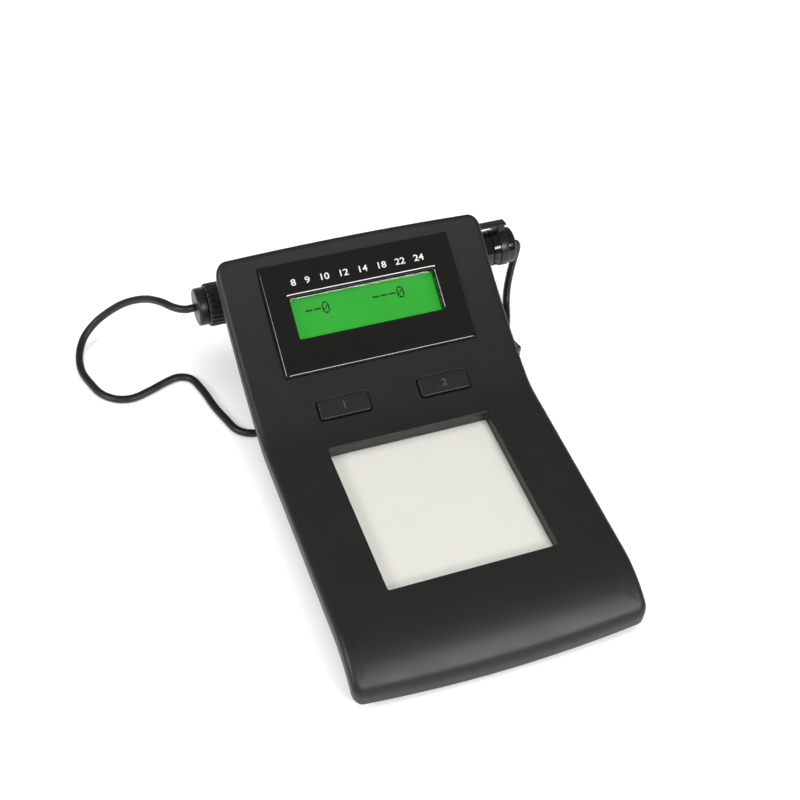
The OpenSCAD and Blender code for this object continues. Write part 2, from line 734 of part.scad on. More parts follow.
module switch_rocker() {
    end_r = frame_in.x / 2 - 0.2;
    height = frame_in.y - 0.4;
    crown = 2.6;
    dish = 7;
    color([0.09, 0.09, 0.09]) translate([pivot_x, switch_y, switch_z]) rotate([0, 0, rocker_tilt]) {
        intersection() {
            cylinder(r = end_r, h = height, center = true);
            union() for (s = [-1, 1]) rotate([0, 0, -s * dish])
                translate([0, s > 0 ? -1.2 : -end_r - 1, -height])
                cube([crown, end_r + 2.2, 2 * height]);
        }
        translate([-0.6, 0, 0]) cylinder(d = 5, h = height, center = true);
        cylinder(d = 2, h = frame_in.y + 1, center = true);
    }
}

// Battery bay with its cells, contacts and sliding door.
module battery_cells() {
    nub_h = 1;
    nub_d = 3.8;
    color([0.6, 0.6, 0.6]) for (i = [0:cell_count - 1])
        translate([0, cell_y + (i - (cell_count - 1) / 2) * cell_pitch, cell_bottom + cell_d / 2])
        rotate([0, i % 2 == 0 ? 90 : -90, 0]) translate([0, 0, -cell_len / 2]) {
            cylinder(d = cell_d, h = cell_len - nub_h);
            cylinder(d = nub_d, h = cell_len);
        }
}

module battery_contacts() {
    leaf_t = 0.4;
    leaf_h = 8;
    pad_len = (bay_w - cell_len) / 2 - leaf_t - 2 * fit;
    color([0.75, 0.75, 0.75]) for (s = [-1, 1]) for (i = [0:cell_count - 1])
        translate([s * (bay_w / 2 - fit), cell_y + (i - (cell_count - 1) / 2) * cell_pitch,
            cell_bottom + cell_d / 2]) rotate([0, -s * 90, 0]) {
            translate([-leaf_h / 2, -leaf_h / 2, 0]) cube([leaf_h, leaf_h, leaf_t]);
            cylinder(d1 = 6, d2 = 4, h = leaf_t + pad_len);
        }
}

module battery_door() {
    length = door_back - door_front;
    color([0.08, 0.08, 0.08]) translate([0, door_front, base_z]) difference() {
        union() {
            translate([-door_w / 2, 0, 0]) cube([door_w, length, door_t]);
            translate([-door_w / 2 - tongue_w, 0, door_t - tongue_t])
                cube([door_w + 2 * tongue_w, length, tongue_t]);
        }
        for (i = [0:4]) translate([-9, length - 6 - 2 * i, -1]) cube([18, 0.9, 1.5]);
    }
}

module rubber_feet() {
    color([0.15, 0.15, 0.15]) for (p = foot_places) translate([p.x, p.y, base_z - foot_h]) {
        cylinder(d1 = foot_d - 1.2, d2 = foot_d, h = 0.6);
        translate([0, 0, 0.6 - eps]) cylinder(d = foot_d, h = foot_h - 0.6 + eps);
    }
}

module case_screws() {
    head_z = base_z + screw_sink - screw_head_h;
    color([0.7, 0.7, 0.7]) for (p = case_screw_places) translate([p.x, p.y, head_z]) {
        cylinder(d = screw_head_d, h = screw_head_h);
        cylinder(d = screw_d, h = screw_len);
    }
}

// One small screw, its head on z = 0 and its shank downwards.
module small_screw(length) {
    cylinder(d = 3.6, h = 1.1);
    translate([0, 0, -length]) cylinder(d = small_screw_d, h = length + eps);
}

module board_screws() {
    color([0.75, 0.75, 0.75]) {
        for (sx = [-1, 1]) for (sy = [-1, 1]) translate([sx * board_hole, sy * board_hole, board_top])
            small_screw(3);
        for (s = [-1, 1]) for (v = lcd_post_v) at_panel()
            translate([s * lcd_post_x, view_v + v, lcd_board_top - lcd_board_t])
            rotate([180, 0, 0]) small_screw(4.5);
        for (s = [-1, 1]) translate([0, key_y, top_z(key_y)]) rotate([key_tilt, 0, 0])
            translate([s * key_post_x, 0, -key_board_top - key_board_t]) rotate([180, 0, 0]) small_screw(4.5);
    }
}

// Cord: from the pen's tail, down, under the base and round a loop to the plug.
cord_floor = base_z - foot_h + cord_d / 2;
plug_end = ring_x - shell_len;
side_x = -cover_w / 2;
route = [
    [pen_x1, tube_y, tube_z], [pen_x1 + 1.6, tube_y, tube_z], [pen_x1 + 3.2, tube_y, tube_z],
    [pen_x1 + 5.8, tube_y, tube_z - 1.6], [pen_x1 + 6.5, tube_y, tube_z - 5],
    [pen_x1 + 5.3, tube_y - 0.3, tube_z - 9.4], [pen_x1 + 3.1, tube_y - 1.7, tube_z - 15.6],
    [pen_x1 + 1.3, tube_y - 4.5, tube_z - 23], [pen_x1 - 0.1, tube_y - 8.5, cord_floor + 1.2],
    [pen_x1 - 2.7, 97, cord_floor], [pen_x1 - 7.7, 88, cord_floor], [56, 80.5, cord_floor],
    [40, 76, cord_floor], [10, 72.7, cord_floor], [-20, 69.5, cord_floor],
    [side_x + 4, 66, cord_floor], [side_x - 1, 66.4, cord_floor], [side_x - 5, 69, cord_floor],
    [side_x - 6.5, 76, cord_floor], [side_x - 9, 84, cord_floor], [side_x - 11.5, 95, cord_floor],
    [side_x - 14.5, 102, cord_floor], [side_x - 19, 104, cord_floor],
    [side_x - 24, 103, cord_floor], [side_x - 32, 100, cord_floor], [side_x - 40, 98, cord_floor],
    [side_x - 46, 99.5, cord_floor], [side_x - 51, 104, cord_floor],
    [side_x - 54, 111, cord_floor], [side_x - 56, 119, cord_floor], [side_x - 55, 128, -12.5],
    [side_x - 51.5, 134.5, -10], [side_x - 46, 138, -6.5], [side_x - 39.5, 138, -1.5],
    [side_x - 33, 135.5, 4], [plug_end - 19, tube_y + 17.5, 9.5], [plug_end - 13, tube_y + 9.5, 14],
    [plug_end - 7.5, tube_y + 2.1, tube_z - 0.4],
    [plug_end - 3.4, tube_y, tube_z], [plug_end - 1.7, tube_y, tube_z],
    [plug_end, tube_y, tube_z]];

// Smooth curve through the route's points, and a tube swept along it.
cord_steps = 2;
cord_sides = 8;
function unit(v) = v / norm(v);
function turn(p, i) = i == 0 ? unit(p[1] - p[0]) : i == len(p) - 1 ? unit(p[i] - p[i - 1]) :
    unit(unit(p[i] - p[i - 1]) + unit(p[i + 1] - p[i]));
function blend(a, b, ta, tb, t) = let (l = norm(b - a))
    a * (2 * pow(t, 3) - 3 * t * t + 1) + ta * l * (pow(t, 3) - 2 * t * t + t)
    + b * (3 * t * t - 2 * pow(t, 3)) + tb * l * (pow(t, 3) - t * t);
function smooth(p, steps) = concat(
    [for (i = [0:len(p) - 2]) for (k = [0:steps - 1])
        blend(p[i], p[i + 1], turn(p, i), turn(p, i + 1), k / steps)],
    [p[len(p) - 1]]);
function square_to(v, t) = unit(v - t * (v * t));

// Each ring keeps the last ring's side vector, turned only as far as the curve turns.
function side_vectors(p, u, i = 0) = i == len(p) ? [] :
    let (w = square_to(u, turn(p, i))) concat([w], side_vectors(p, w, i + 1));

module tube(p, d, sides) {
    n = len(p);
    u = side_vectors(p, [0, 0, 1]);
    points = [for (i = [0:n - 1]) let (v = cross(turn(p, i), u[i]))
        for (k = [0:sides - 1]) let (a = 360 * (k + 0.5) / sides)
        p[i] + d / 2 * (u[i] * cos(a) + v * sin(a))];
    faces = concat(
        [[for (k = [0:sides - 1]) k]],
        [for (i = [0:n - 2]) for (k = [0:sides - 1]) let (j = (k + 1) % sides, b = i * sides)
            each [[b + k, b + sides + k, b + sides + j], [b + k, b + sides + j, b + j]]],
        [[for (k = [sides - 1:-1:0]) (n - 1) * sides + k]]);
    polyhedron(points, faces, convexity = 6);
}

module probe_cord() {
    color([0.06, 0.06, 0.06]) tube(smooth(route, cord_steps), cord_d, cord_sides);
}

top_cover();
base_shell();
display_panel();
display_window();
lcd_frame();
lcd_glass();
lcd_backlight();
lcd_board();
left_key();
right_key();
key_switches();
key_board();
test_plate();
plate_contact();
main_board();
main_chip();
board_capacitors();
probe_socket();
socket_contacts();
plug_ring();
plug_shell();
plug_insert();
probe_cord();
pen_barrel();
pen_tail_cap();
pen_clip();
pen_nose();
pen_electrode();
switch_frame();
switch_rocker();
battery_cells();
battery_contacts();
battery_door();
rubber_feet();
case_screws();
board_screws();
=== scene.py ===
# %% [markdown]
# An electronic gold tester on a table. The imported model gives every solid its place, in
# metres: the origin is the centre of the test plate's top face, +Y points to the display
# and +Z points up. This script dresses those solids: it replaces the ones whose soft edges
# and moulded curves need finer surfaces, and gives every other one a finish.

# %% Load the frame
import math
import bmesh
import bpy
import numpy as np
from mathutils import Matrix


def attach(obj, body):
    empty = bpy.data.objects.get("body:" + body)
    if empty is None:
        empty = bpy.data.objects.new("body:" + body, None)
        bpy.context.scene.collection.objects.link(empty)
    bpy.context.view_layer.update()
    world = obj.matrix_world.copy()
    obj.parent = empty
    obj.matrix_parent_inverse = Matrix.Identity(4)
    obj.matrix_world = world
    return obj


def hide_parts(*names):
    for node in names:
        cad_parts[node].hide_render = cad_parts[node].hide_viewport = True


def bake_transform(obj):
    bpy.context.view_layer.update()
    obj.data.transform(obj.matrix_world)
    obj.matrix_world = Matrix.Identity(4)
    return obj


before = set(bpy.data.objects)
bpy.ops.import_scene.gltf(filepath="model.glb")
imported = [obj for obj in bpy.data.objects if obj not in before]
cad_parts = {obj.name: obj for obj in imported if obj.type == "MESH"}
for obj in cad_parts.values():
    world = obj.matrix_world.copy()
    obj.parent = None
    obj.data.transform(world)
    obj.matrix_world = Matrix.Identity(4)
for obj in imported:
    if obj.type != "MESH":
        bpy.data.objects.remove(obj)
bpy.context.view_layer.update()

MM = 0.001

# %% [markdown]
# The camera stands in front and to the left, and looks down at 48 degrees. Its place is
# worked out from three angles and a distance: the direction back to the camera is turned
# by the azimuth and the elevation, and right and up are then rolled about it.

# %% Place the camera
AZIMUTH, ELEVATION, ROLL = -0.42214826, 0.83127503, 0.09325545
DISTANCE, AIM_RIGHT, AIM_UP, AIM_Z = 524.254, 15.1906, -35.7605, 5.0
FOCAL_PIXELS = 1399.0


def camera_axes(azimuth, elevation, roll):
    """Right, up and back: back is the unit vector at these angles, and roll turns the other two about it."""
    sa, ca, se, ce = np.sin(azimuth), np.cos(azimuth), np.sin(elevation), np.cos(elevation)
    back = np.array([ce * sa, -ce * ca, se])
    level = np.array([ca, sa, 0.0])
    rise = np.cross(back, level)
    right = np.cos(roll) * level + np.sin(roll) * rise
    return right, np.cross(back, right), back


right, up, back = camera_axes(AZIMUTH, ELEVATION, ROLL)
eye = (back * DISTANCE - right * AIM_RIGHT - up * AIM_UP + [0, 0, AIM_Z]) * MM
lens = bpy.data.cameras.new("camera")
lens.sensor_width, lens.lens = 36.0, FOCAL_PIXELS * 36.0 / 800.0
lens.clip_start, lens.clip_end = 0.01, 20.0
camera = bpy.data.objects.new("camera", lens)
bpy.context.scene.collection.objects.link(camera)
matrix = np.eye(4)
matrix[:3, 0], matrix[:3, 1], matrix[:3, 2], matrix[:3, 3] = right, up, back, eye
camera.matrix_world = Matrix(matrix.tolist())
bpy.context.scene.camera = camera
print("camera at", np.round(eye, 4), "lens", round(lens.lens, 2))

# %% [markdown]
# Shapes come as grids of points in millimetres. A grid's rows and columns become quads, a
# grid whose columns close on themselves is a tube or a ring, and several grids that share
# their edges are merged into one closed mesh. Smooth shading stays off the sharp edges.


# %% Grids to meshes
def quads(rows, cols, wrap=False, keep=None):
    """Point (r, c) has number r * cols + c. Each quad joins (r, c), (r, c+1), (r+1, c+1) and (r+1, c)."""
    r = np.arange(rows - 1)[:, None]
    c = np.arange(cols if wrap else cols - 1)[None, :]
    a, b = r * cols + c, r * cols + (c + 1) % cols
    faces = np.stack([a, b, b + cols, a + cols], axis=-1)
    return faces[keep] if keep is not None else faces.reshape(-1, 4)


def fill_mesh(mesh, points, faces):
    """All points and quads go in as whole arrays. Points are in millimetres."""
    mesh.vertices.add(len(points))
    mesh.vertices.foreach_set("co", (points * MM).astype(np.float32).ravel())
    mesh.loops.add(faces.size)
    mesh.loops.foreach_set("vertex_index", faces.ravel().astype(np.int32))
    mesh.polygons.add(len(faces))
    mesh.polygons.foreach_set("loop_start", np.arange(0, faces.size, 4, dtype=np.int32))
    mesh.update(calc_edges=True)
    mesh.validate()


def build(name, grids, crease=32.0, merge=2e-6):
    """One object from a list of (points[rows, cols, 3], wrap, keep) grids, merged, turned outwards
    and shaded."""
    points, faces, start = [], [], 0
    for grid, wrap, keep in grids:
        rows, cols = grid.shape[:2]
        points.append(grid.reshape(-1, 3))
        faces.append(quads(rows, cols, wrap, keep) + start)
        start += rows * cols
    mesh = bpy.data.meshes.new(name)
    fill_mesh(mesh, np.concatenate(points), np.concatenate(faces))
    tidy_mesh(mesh, crease, merge)
    made = bpy.data.objects.new(name, mesh)
    bpy.context.scene.collection.objects.link(made)
    return made


def tidy_mesh(mesh, crease=32.0, merge=2e-6):
    """Doubles closer than merge become one, normals turn outwards, and edges over crease degrees
    stay sharp."""
    work = bmesh.new()
    work.from_mesh(mesh)
    bmesh.ops.remove_doubles(work, verts=work.verts, dist=merge)
    bmesh.ops.dissolve_degenerate(work, edges=work.edges, dist=merge)
    bmesh.ops.recalc_face_normals(work, faces=work.faces)
    work.to_mesh(mesh)
    work.free()
    mesh.shade_smooth()
    mesh.set_sharp_from_angle(angle=math.radians(crease))


def loose_ends(made):
    """How many edges don't have exactly two faces: a closed shape has none."""
    work = bmesh.new()
    work.from_mesh(made.data)
    count = sum(len(edge.link_faces) != 2 for edge in work.edges)
    work.free()
    return count


def report(made):
    size = np.array([corner[:] for corner in made.bound_box])
    print(f"{made.name}: {len(made.data.polygons)} faces, {loose_ends(made)} loose edges,",
          "mm", np.round(size.min(0) / MM, 1), np.round(size.max(0) / MM, 1))
    return made


# %% [markdown]
# The cord is one limp lead from the pen's tail, down past the corner, under the base and
# round a loop to the plug. Its centreline is a row of points joined by Hermite curves, and
# its skin is a circle that is carried along without twisting.

# %% Route of the cord
F = -13.4
ROUTE = np.array([
    [76.1, 112.5, 16], [76.7, 112.5, 16], [77.3, 112.5, 16], [78.2, 112.5, 15.5], [78.9, 112.5, 14.2],
    [79.0, 112.5, 12.2], [78.6, 112.3, 9.2], [77.8, 111.7, 5.4], [76.6, 110.5, 0], [75, 108, -7],
    [73.6, 104, -12.2], [71, 97, F], [66, 88, F],
    [56, 80.5, F], [40, 76, F], [10, 72.7, F], [-20, 69.5, F], [-48, 65.6, F], [-54.5, 65.6, F],
    [-59.5, 69, F], [-62.4, 76, F], [-65, 84, F], [-67.5, 95, F], [-70.5, 102, F], [-75, 104, F],
    [-80, 103, F], [-88, 100, F], [-96, 98, F], [-102, 99.5, F], [-107, 104, F], [-110, 111, F],
    [-112, 119, F], [-111, 128, -12.5], [-107.5, 134.5, -10], [-102, 138, -6.5], [-95.5, 138, -1.5],
    [-89, 135.5, 4], [-82, 130, 9.5], [-76.6, 122, 14], [-71.6, 114.8, 15.6], [-68.0, 112.5, 16],
    [-66.2, 112.5, 16], [-64.4, 112.5, 16]])
CORD_D = 3.2


def hermite(points, steps):
    """Each stretch is a cubic: h00*a + h10*L*ta + h01*b + h11*L*tb, where L is its length and ta,
    tb are unit tangents."""
    step = np.diff(points, axis=0)
    length = np.linalg.norm(step, axis=1)
    unit = step / length[:, None]
    tangent = np.vstack([unit[:1], unit[:-1] + unit[1:], unit[-1:]])
    tangent /= np.linalg.norm(tangent, axis=1)[:, None]
    t = (np.arange(steps) / steps)[None, :, None]
    a, b = points[:-1, None], points[1:, None]
    ta, tb = tangent[:-1, None] * length[:, None, None], tangent[1:, None] * length[:, None, None]
    curve = (a * (2 * t**3 - 3 * t**2 + 1) + ta * (t**3 - 2 * t**2 + t)
             + b * (3 * t**2 - 2 * t**3) + tb * (t**3 - t**2))
    return np.vstack([curve.reshape(-1, 3), points[-1:]])


def carried_sides(tangent):
    """Side vectors along a path: each is the one before it, made square to the next tangent."""
    sides = [np.cross(tangent[0], [0.0, 1.0, 0.0])]
    for t in tangent[1:]:
        side = sides[-1] - t * (sides[-1] @ t)
        sides.append(side / np.linalg.norm(side))
    return np.array(sides)


def tube_grid(path, radius, around=20):
    """Point (s, a) = path(s) + radius(s) * (cos a * side + sin a * (tangent x side)). Both ends
    close in a pole."""
    tangent = np.gradient(path, axis=0)
    tangent /= np.linalg.norm(tangent, axis=1)[:, None]
    u = carried_sides(tangent)
    v = np.cross(tangent, u)
    a = np.linspace(0, 2 * np.pi, around, endpoint=False)
    ring = np.cos(a)[None, :, None] * u[:, None] + np.sin(a)[None, :, None] * v[:, None]
    body = path[:, None] + np.broadcast_to(radius, len(path))[:, None, None] * ring
    first = np.repeat(path[:1, None], around, axis=1)
    last = np.repeat(path[-1:, None], around, axis=1)
    return np.concatenate([first, body, last])


cord_path = hermite(ROUTE, 6)
cord = build("cord", [(tube_grid(cord_path, CORD_D / 2), True, None)])
report(cord)

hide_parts("probe_cord")
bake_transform(cord)

# %% [markdown]
# Finishes are node trees. A small class wraps a socket, so that shader maths reads like
# plain arithmetic: `1 - mask * 0.4` adds the Math nodes. Every other node comes from one
# method, which takes the node's type, its settings and the values of its sockets.


# %% Shader arithmetic
class Wire:
    """A number that varies over the surface. The operators add Math nodes to the tree."""

    def __init__(self, finish, socket):
        self.finish, self.socket = finish, socket

    def maths(self, operation, a, b=0.0, c=0.0):
        return self.finish.node("ShaderNodeMath", {"operation": operation}, {0: a, 1: b, 2: c})

    def __add__(self, other): return self.maths("ADD", self, other)
    def __sub__(self, other): return self.maths("SUBTRACT", self, other)
    def __rsub__(self, other): return self.maths("SUBTRACT", other, self)
    def __mul__(self, other): return self.maths("MULTIPLY", self, other)
    def __truediv__(self, other): return self.maths("DIVIDE", self, other)
    def __pow__(self, other): return self.maths("POWER", self, other)
    def __gt__(self, other): return self.maths("GREATER_THAN", self, other)
    def __lt__(self, other): return self.maths("LESS_THAN", self, other)
    __radd__, __rmul__ = __add__, __mul__

    def wave(self): return self.maths("FRACT", self)
    def size(self): return self.maths("ABSOLUTE", self)

    def span(self, low, high, to_low=0.0, to_high=1.0):
        """Straight-line change of range from low..high to to_low..to_high, held at both ends."""
        return self.finish.node("ShaderNodeMapRange", {"clamp": True},
                                {"Value": self, "From Min": low, "From Max": high,
                                 "To Min": to_low, "To Max": to_high})


class Finish:
    """One material. Its shader's own sockets take the values that are the same all over."""

    def __init__(self, name, **sockets):
        self.material = bpy.data.materials.new(name)
        self.material.use_nodes = True
        self.tree = self.material.node_tree
        self.tree.nodes.clear()
        self.shader = self.node("ShaderNodeBsdfPrincipled", {}, sockets)
        self.out = self.tree.nodes.new("ShaderNodeOutputMaterial")
        self.tree.links.new(self.shader.socket, self.out.inputs["Surface"])

    def node(self, kind, settings, inputs=None, output=0):
        made = self.tree.nodes.new(kind)
        for key, value in settings.items():
            if key == "stops":
                self.set_stops(made.color_ramp, value)
            else:
                setattr(made, key, value)
        self.fill(made, inputs or {})
        return Wire(self, made.outputs[output])

    def fill(self, made, inputs):
        for key, value in inputs.items():
            if isinstance(value, Wire):
                self.tree.links.new(value.socket, made.inputs[key])
            else:
                made.inputs[key].default_value = value

    def set_stops(self, ramp, stops):
        while len(ramp.elements) < len(stops):
            ramp.elements.new(0.5)
        for element, (place, colour) in zip(ramp.elements, stops):
            element.position, element.color = place, colour

    def set(self, **inputs):
        self.fill(self.shader.socket.node, {key.replace("_", " "): value for key, value in inputs.items()})
        return self

    def place(self, scale=(1, 1, 1), turn=(0, 0, 0), move=(0, 0, 0)):
        coordinates = self.node("ShaderNodeTexCoord", {}, output="Object")
        return self.node("ShaderNodeMapping", {"vector_type": "POINT"},
                         {"Vector": coordinates, "Scale": scale, "Rotation": turn, "Location": move})

    def noise(self, size_mm, detail=2.0, rough=0.5, vector=None):
        """Cloudy pattern from 0 to 1, whose lumps are about size_mm wide."""
        return self.node("ShaderNodeTexNoise", {}, {"Vector": vector or self.place(),
                         "Scale": 1000.0 / size_mm, "Detail": detail, "Roughness": rough})

    def cells(self, size_mm, vector=None):
        """Distance to the nearest of many scattered points, about size_mm apart: leathery grain."""
        return self.node("ShaderNodeTexVoronoi", {},
                         {"Vector": vector or self.place(), "Scale": 1000.0 / size_mm})

    def between(self, mask, dark, light):
        """A colour that goes from dark to light as mask goes from 0 to 1."""
        mixed = self.node("ShaderNodeMix", {"data_type": "RGBA"}, {"Factor": mask}, output=2)
        made = mixed.socket.node
        for socket, value in zip([made.inputs[6], made.inputs[7]], [dark, light]):
            if isinstance(value, Wire):
                self.tree.links.new(value.socket, socket)
            else:
                socket.default_value = (*value, 1.0)
        return mixed

    def bump(self, height, depth_mm, strength=1.0):
        """Surface normal from a height that runs from 0 to 1 over depth_mm."""
        return self.node("ShaderNodeBump", {},
                         {"Height": height, "Distance": depth_mm * MM, "Strength": strength})


# %% [markdown]
# The housing is black moulded plastic with a fine spark-eroded grain: tiny even pits that
# blur its reflections into a soft grey sheen. Handling leaves slightly smoother patches.
# The display's surround is the same colour but polished, a little brown, with faint
# wipe marks in its gloss.

# %% Plastic finishes
def moulded_plastic(name, colour, roughness, grain_mm=0.35, depth_mm=0.012):
    """Colour and roughness drift by a few percent over 14 mm, and the grain is noise added to
    scattered pits."""
    finish = Finish(name, **{"Roughness": roughness})
    drift = finish.noise(14.0, 3.0)
    fine = finish.noise(grain_mm, 1.0)
    pits = finish.cells(grain_mm * 1.3)
    colour = np.array(colour)
    finish.set(Base_Color=finish.between(drift * 0.6 + fine * 0.4, colour * 0.82, colour * 1.18),
               Roughness=(drift - 0.5) * 0.10 + (fine - 0.5) * 0.08 + roughness,
               Normal=finish.bump(fine * 0.5 + pits * 0.5, depth_mm))
    return finish


housing_black = moulded_plastic("moulded_black", (0.0090, 0.0088, 0.0084), 0.46)
base_black = moulded_plastic("base_black", (0.0085, 0.0083, 0.0080), 0.52)
key_black = moulded_plastic("key_black", (0.0105, 0.0102, 0.0098), 0.42, 0.3, 0.008)
switch_black = moulded_plastic("switch_black", (0.0085, 0.0085, 0.0088), 0.30, 0.5, 0.004)
pen_black = moulded_plastic("pen_black", (0.0070, 0.0068, 0.0068), 0.12, 0.6, 0.0015)
clip_black = moulded_plastic("clip_black", (0.0080, 0.0078, 0.0078), 0.34, 0.5, 0.004)
plug_black = moulded_plastic("plug_black", (0.0075, 0.0073, 0.0072), 0.38, 0.5, 0.006)
socket_black = moulded_plastic("socket_black", (0.0090, 0.0090, 0.0090), 0.45, 0.5, 0.006)
foot_rubber = moulded_plastic("foot_rubber", (0.0160, 0.0158, 0.0155), 0.78, 0.6, 0.02)

panel_gloss = Finish("panel_gloss", **{"Roughness": 0.08, "Coat Weight": 0.3, "Coat Roughness": 0.03})
smear = panel_gloss.noise(9.0, 4.0, vector=panel_gloss.place(scale=(1.0, 2.5, 2.5), turn=(0, 0, 0.5)))
speck = panel_gloss.noise(0.8, 1.0)
panel_gloss.set(Base_Color=panel_gloss.between(smear, (0.0048, 0.0040, 0.0033), (0.0062, 0.0052, 0.0043)),
                Roughness=smear.span(0.35, 0.7, 0.06, 0.12) + speck * 0.02,
                Normal=panel_gloss.bump(panel_gloss.noise(6.0, 1.0), 0.006))
print("plastics:", [m.name for m in bpy.data.materials if m.users])

# %% [markdown]
# The cord's jacket is soft matt vinyl with faint lengthwise draw lines, and the feet are
# matt rubber. Bright parts are satin steel on the plate, plated screws, gold-plated
# contacts and a tin-plated display frame.

# %% Cord and metal finishes
cord_vinyl = Finish("cord_vinyl", **{"Roughness": 0.42})
flow = cord_vinyl.noise(2.5, 2.0)
cord_vinyl.set(Base_Color=cord_vinyl.between(flow, (0.0060, 0.0059, 0.0060), (0.0090, 0.0088, 0.0088)),
               Roughness=flow.span(0.3, 0.7, 0.36, 0.48),
               Normal=cord_vinyl.bump(cord_vinyl.noise(0.5, 1.0), 0.010))


def satin_metal(name, colour, roughness, metallic=1.0, line_mm=0.25, depth_mm=0.002, turn=0.0):
    """Brushed grain is noise stretched twenty times along X after a turn; cloudy noise dulls it in
    patches."""
    finish = Finish(name, **{"Roughness": roughness, "Metallic": metallic})
    brush = finish.noise(line_mm, 2.0, vector=finish.place(scale=(0.05, 1, 1), turn=(0, 0, turn)))
    cloud = finish.noise(11.0, 3.0)
    colour = np.array(colour)
    finish.set(Base_Color=finish.between(brush * 0.6 + cloud * 0.4, colour * 0.93, colour * 1.04),
               Roughness=(cloud - 0.5) * 0.14 + (brush - 0.5) * 0.12 + roughness,
               Normal=finish.bump(brush, depth_mm))
    return finish


plate_steel = satin_metal("plate_steel", (0.76, 0.75, 0.69), 0.42, 0.30, 0.3, 0.0015, 0.35)
screw_steel = satin_metal("screw_steel", (0.62, 0.62, 0.64), 0.30)
spring_steel = satin_metal("spring_steel", (0.66, 0.65, 0.62), 0.28)
contact_gold = satin_metal("contact_gold", (0.83, 0.62, 0.28), 0.26)
tin_frame = satin_metal("tin_frame", (0.42, 0.42, 0.44), 0.38, 1.0, 0.4, 0.003)
electrode_metal = satin_metal("electrode_metal", (0.60, 0.60, 0.60), 0.24)
cell_skin = satin_metal("cell_skin", (0.50, 0.51, 0.53), 0.32, 0.6, 0.6, 0.002, math.pi / 2)
print("metals:", plate_steel.material.name, screw_steel.material.name)

# %% [markdown]
# Below the cover are green boards with tracks under their lacquer, a chip, three
# capacitors and the display's stack: a lit sheet, the glass and a clear window.

# %% Inner finishes
def board_green(name, turn=0.0):
    """Tracks are thin stripes, where the distance to the middle of a 2.54 mm pitch is small,
    broken up by noise."""
    finish = Finish(name, **{"Roughness": 0.34, "Coat Weight": 0.25})
    place = finish.place(turn=(turn, 0, 0))
    split = finish.node("ShaderNodeSeparateXYZ", {}, {0: place}, output=0)
    across = Wire(finish, split.socket.node.outputs[1]) * (1 / 0.00254)
    stripe = ((across.wave() - 0.5).size().span(0.16, 0.2, 1, 0)) * finish.noise(9.0, 1.0).span(0.48, 0.52)
    finish.set(Base_Color=finish.between(stripe, (0.006, 0.075, 0.022), (0.012, 0.13, 0.035)),
               Roughness=finish.noise(5.0) * 0.1 + 0.3, Normal=finish.bump(stripe, 0.03))
    return finish


main_green = board_green("board_green")
slope_green = board_green("slope_board_green", math.radians(-29.9))
key_green = board_green("key_board_green", math.radians(-21.3))
chip_epoxy = moulded_plastic("chip_epoxy", (0.012, 0.012, 0.012), 0.55, 0.2, 0.006)
can_metal = satin_metal("can_metal", (0.55, 0.55, 0.58), 0.30)
diffuser_white = moulded_plastic("diffuser_white", (0.62, 0.66, 0.62), 0.5, 0.5, 0.01)

window_clear = Finish("window_clear", **{"Roughness": 0.03, "Transmission Weight": 1.0, "IOR": 1.49,
                                         "Base Color": (0.93, 0.97, 0.93, 1)})
window_clear.set(Normal=window_clear.bump(window_clear.noise(20.0, 1.0), 0.004))
print("inner finishes:", main_green.material.name, window_clear.material.name)

# %% [markdown]
# The cover is the main form: a deck round the plate, a nose that rolls down to the table,
# a soft bend and a hollow ramp that carries the display. Seen from the side it is one
# curve, so its height is a function of y alone. In plan its front and back bow outward.

# %% Side curve and outline of the cover
COVER_W, WALL, RIM, EDGE_R = 113.0, 2.4, 6.2, 2.5
FRONT, BACK, KEY_Y = -68.1, 111.5, 50.8
NOSE_START, NOSE_R, BEND_START, BEND_R, DECK = 42.0, 36.0, 38.0, 30.0, 5.0
SLOPE, RAMP_R = math.radians(21.0), 260.0
BEND_END = BEND_START + BEND_R * math.sin(SLOPE)
RAMP_Y = BEND_END - RAMP_R * math.sin(SLOPE)
RAMP_Z = DECK + BEND_R * (1 - math.cos(SLOPE)) + RAMP_R * math.cos(SLOPE)


def top_z(y):
    """Height over y: a falling arc of radius 36, the flat deck, a rising arc of 30 and a rising
    arc of 260."""
    y = np.asarray(y, float)
    nose = DECK - NOSE_R + np.sqrt(np.maximum(NOSE_R**2 - (y + NOSE_START)**2, 0))
    bend = DECK + BEND_R - np.sqrt(np.maximum(BEND_R**2 - (y - BEND_START)**2, 0))
    ramp = RAMP_Z - np.sqrt(np.maximum(RAMP_R**2 - (y - RAMP_Y)**2, 0))
    return np.select([y < -NOSE_START, y < BEND_START, y < BEND_END], [nose, DECK, bend], ramp)


def front_line(x): return FRONT + 2.0 * (2 * x / COVER_W)**2
def back_line(x): return BACK - 0.8 * (2 * x / COVER_W)**2


def side_steps(shares, k):
    """Along one side, the first and last k steps turn through 45 degrees of a corner, the rest run straight.
    Returns the corner angle, the end it belongs to (-1, 0, 1) and the straight share from 0 to 1."""
    n = len(shares) - 1
    i = np.arange(n)
    angle = np.maximum(np.maximum(1 - i / k, 1 - (n - i) / k), 0) * math.pi / 4
    end = np.where(i < k, -1, np.where(i > n - k, 1, 0))
    straight = np.clip((shares[:-1] - shares[k]) / (shares[n - k] - shares[k]), 0, 1)
    return angle, end, straight


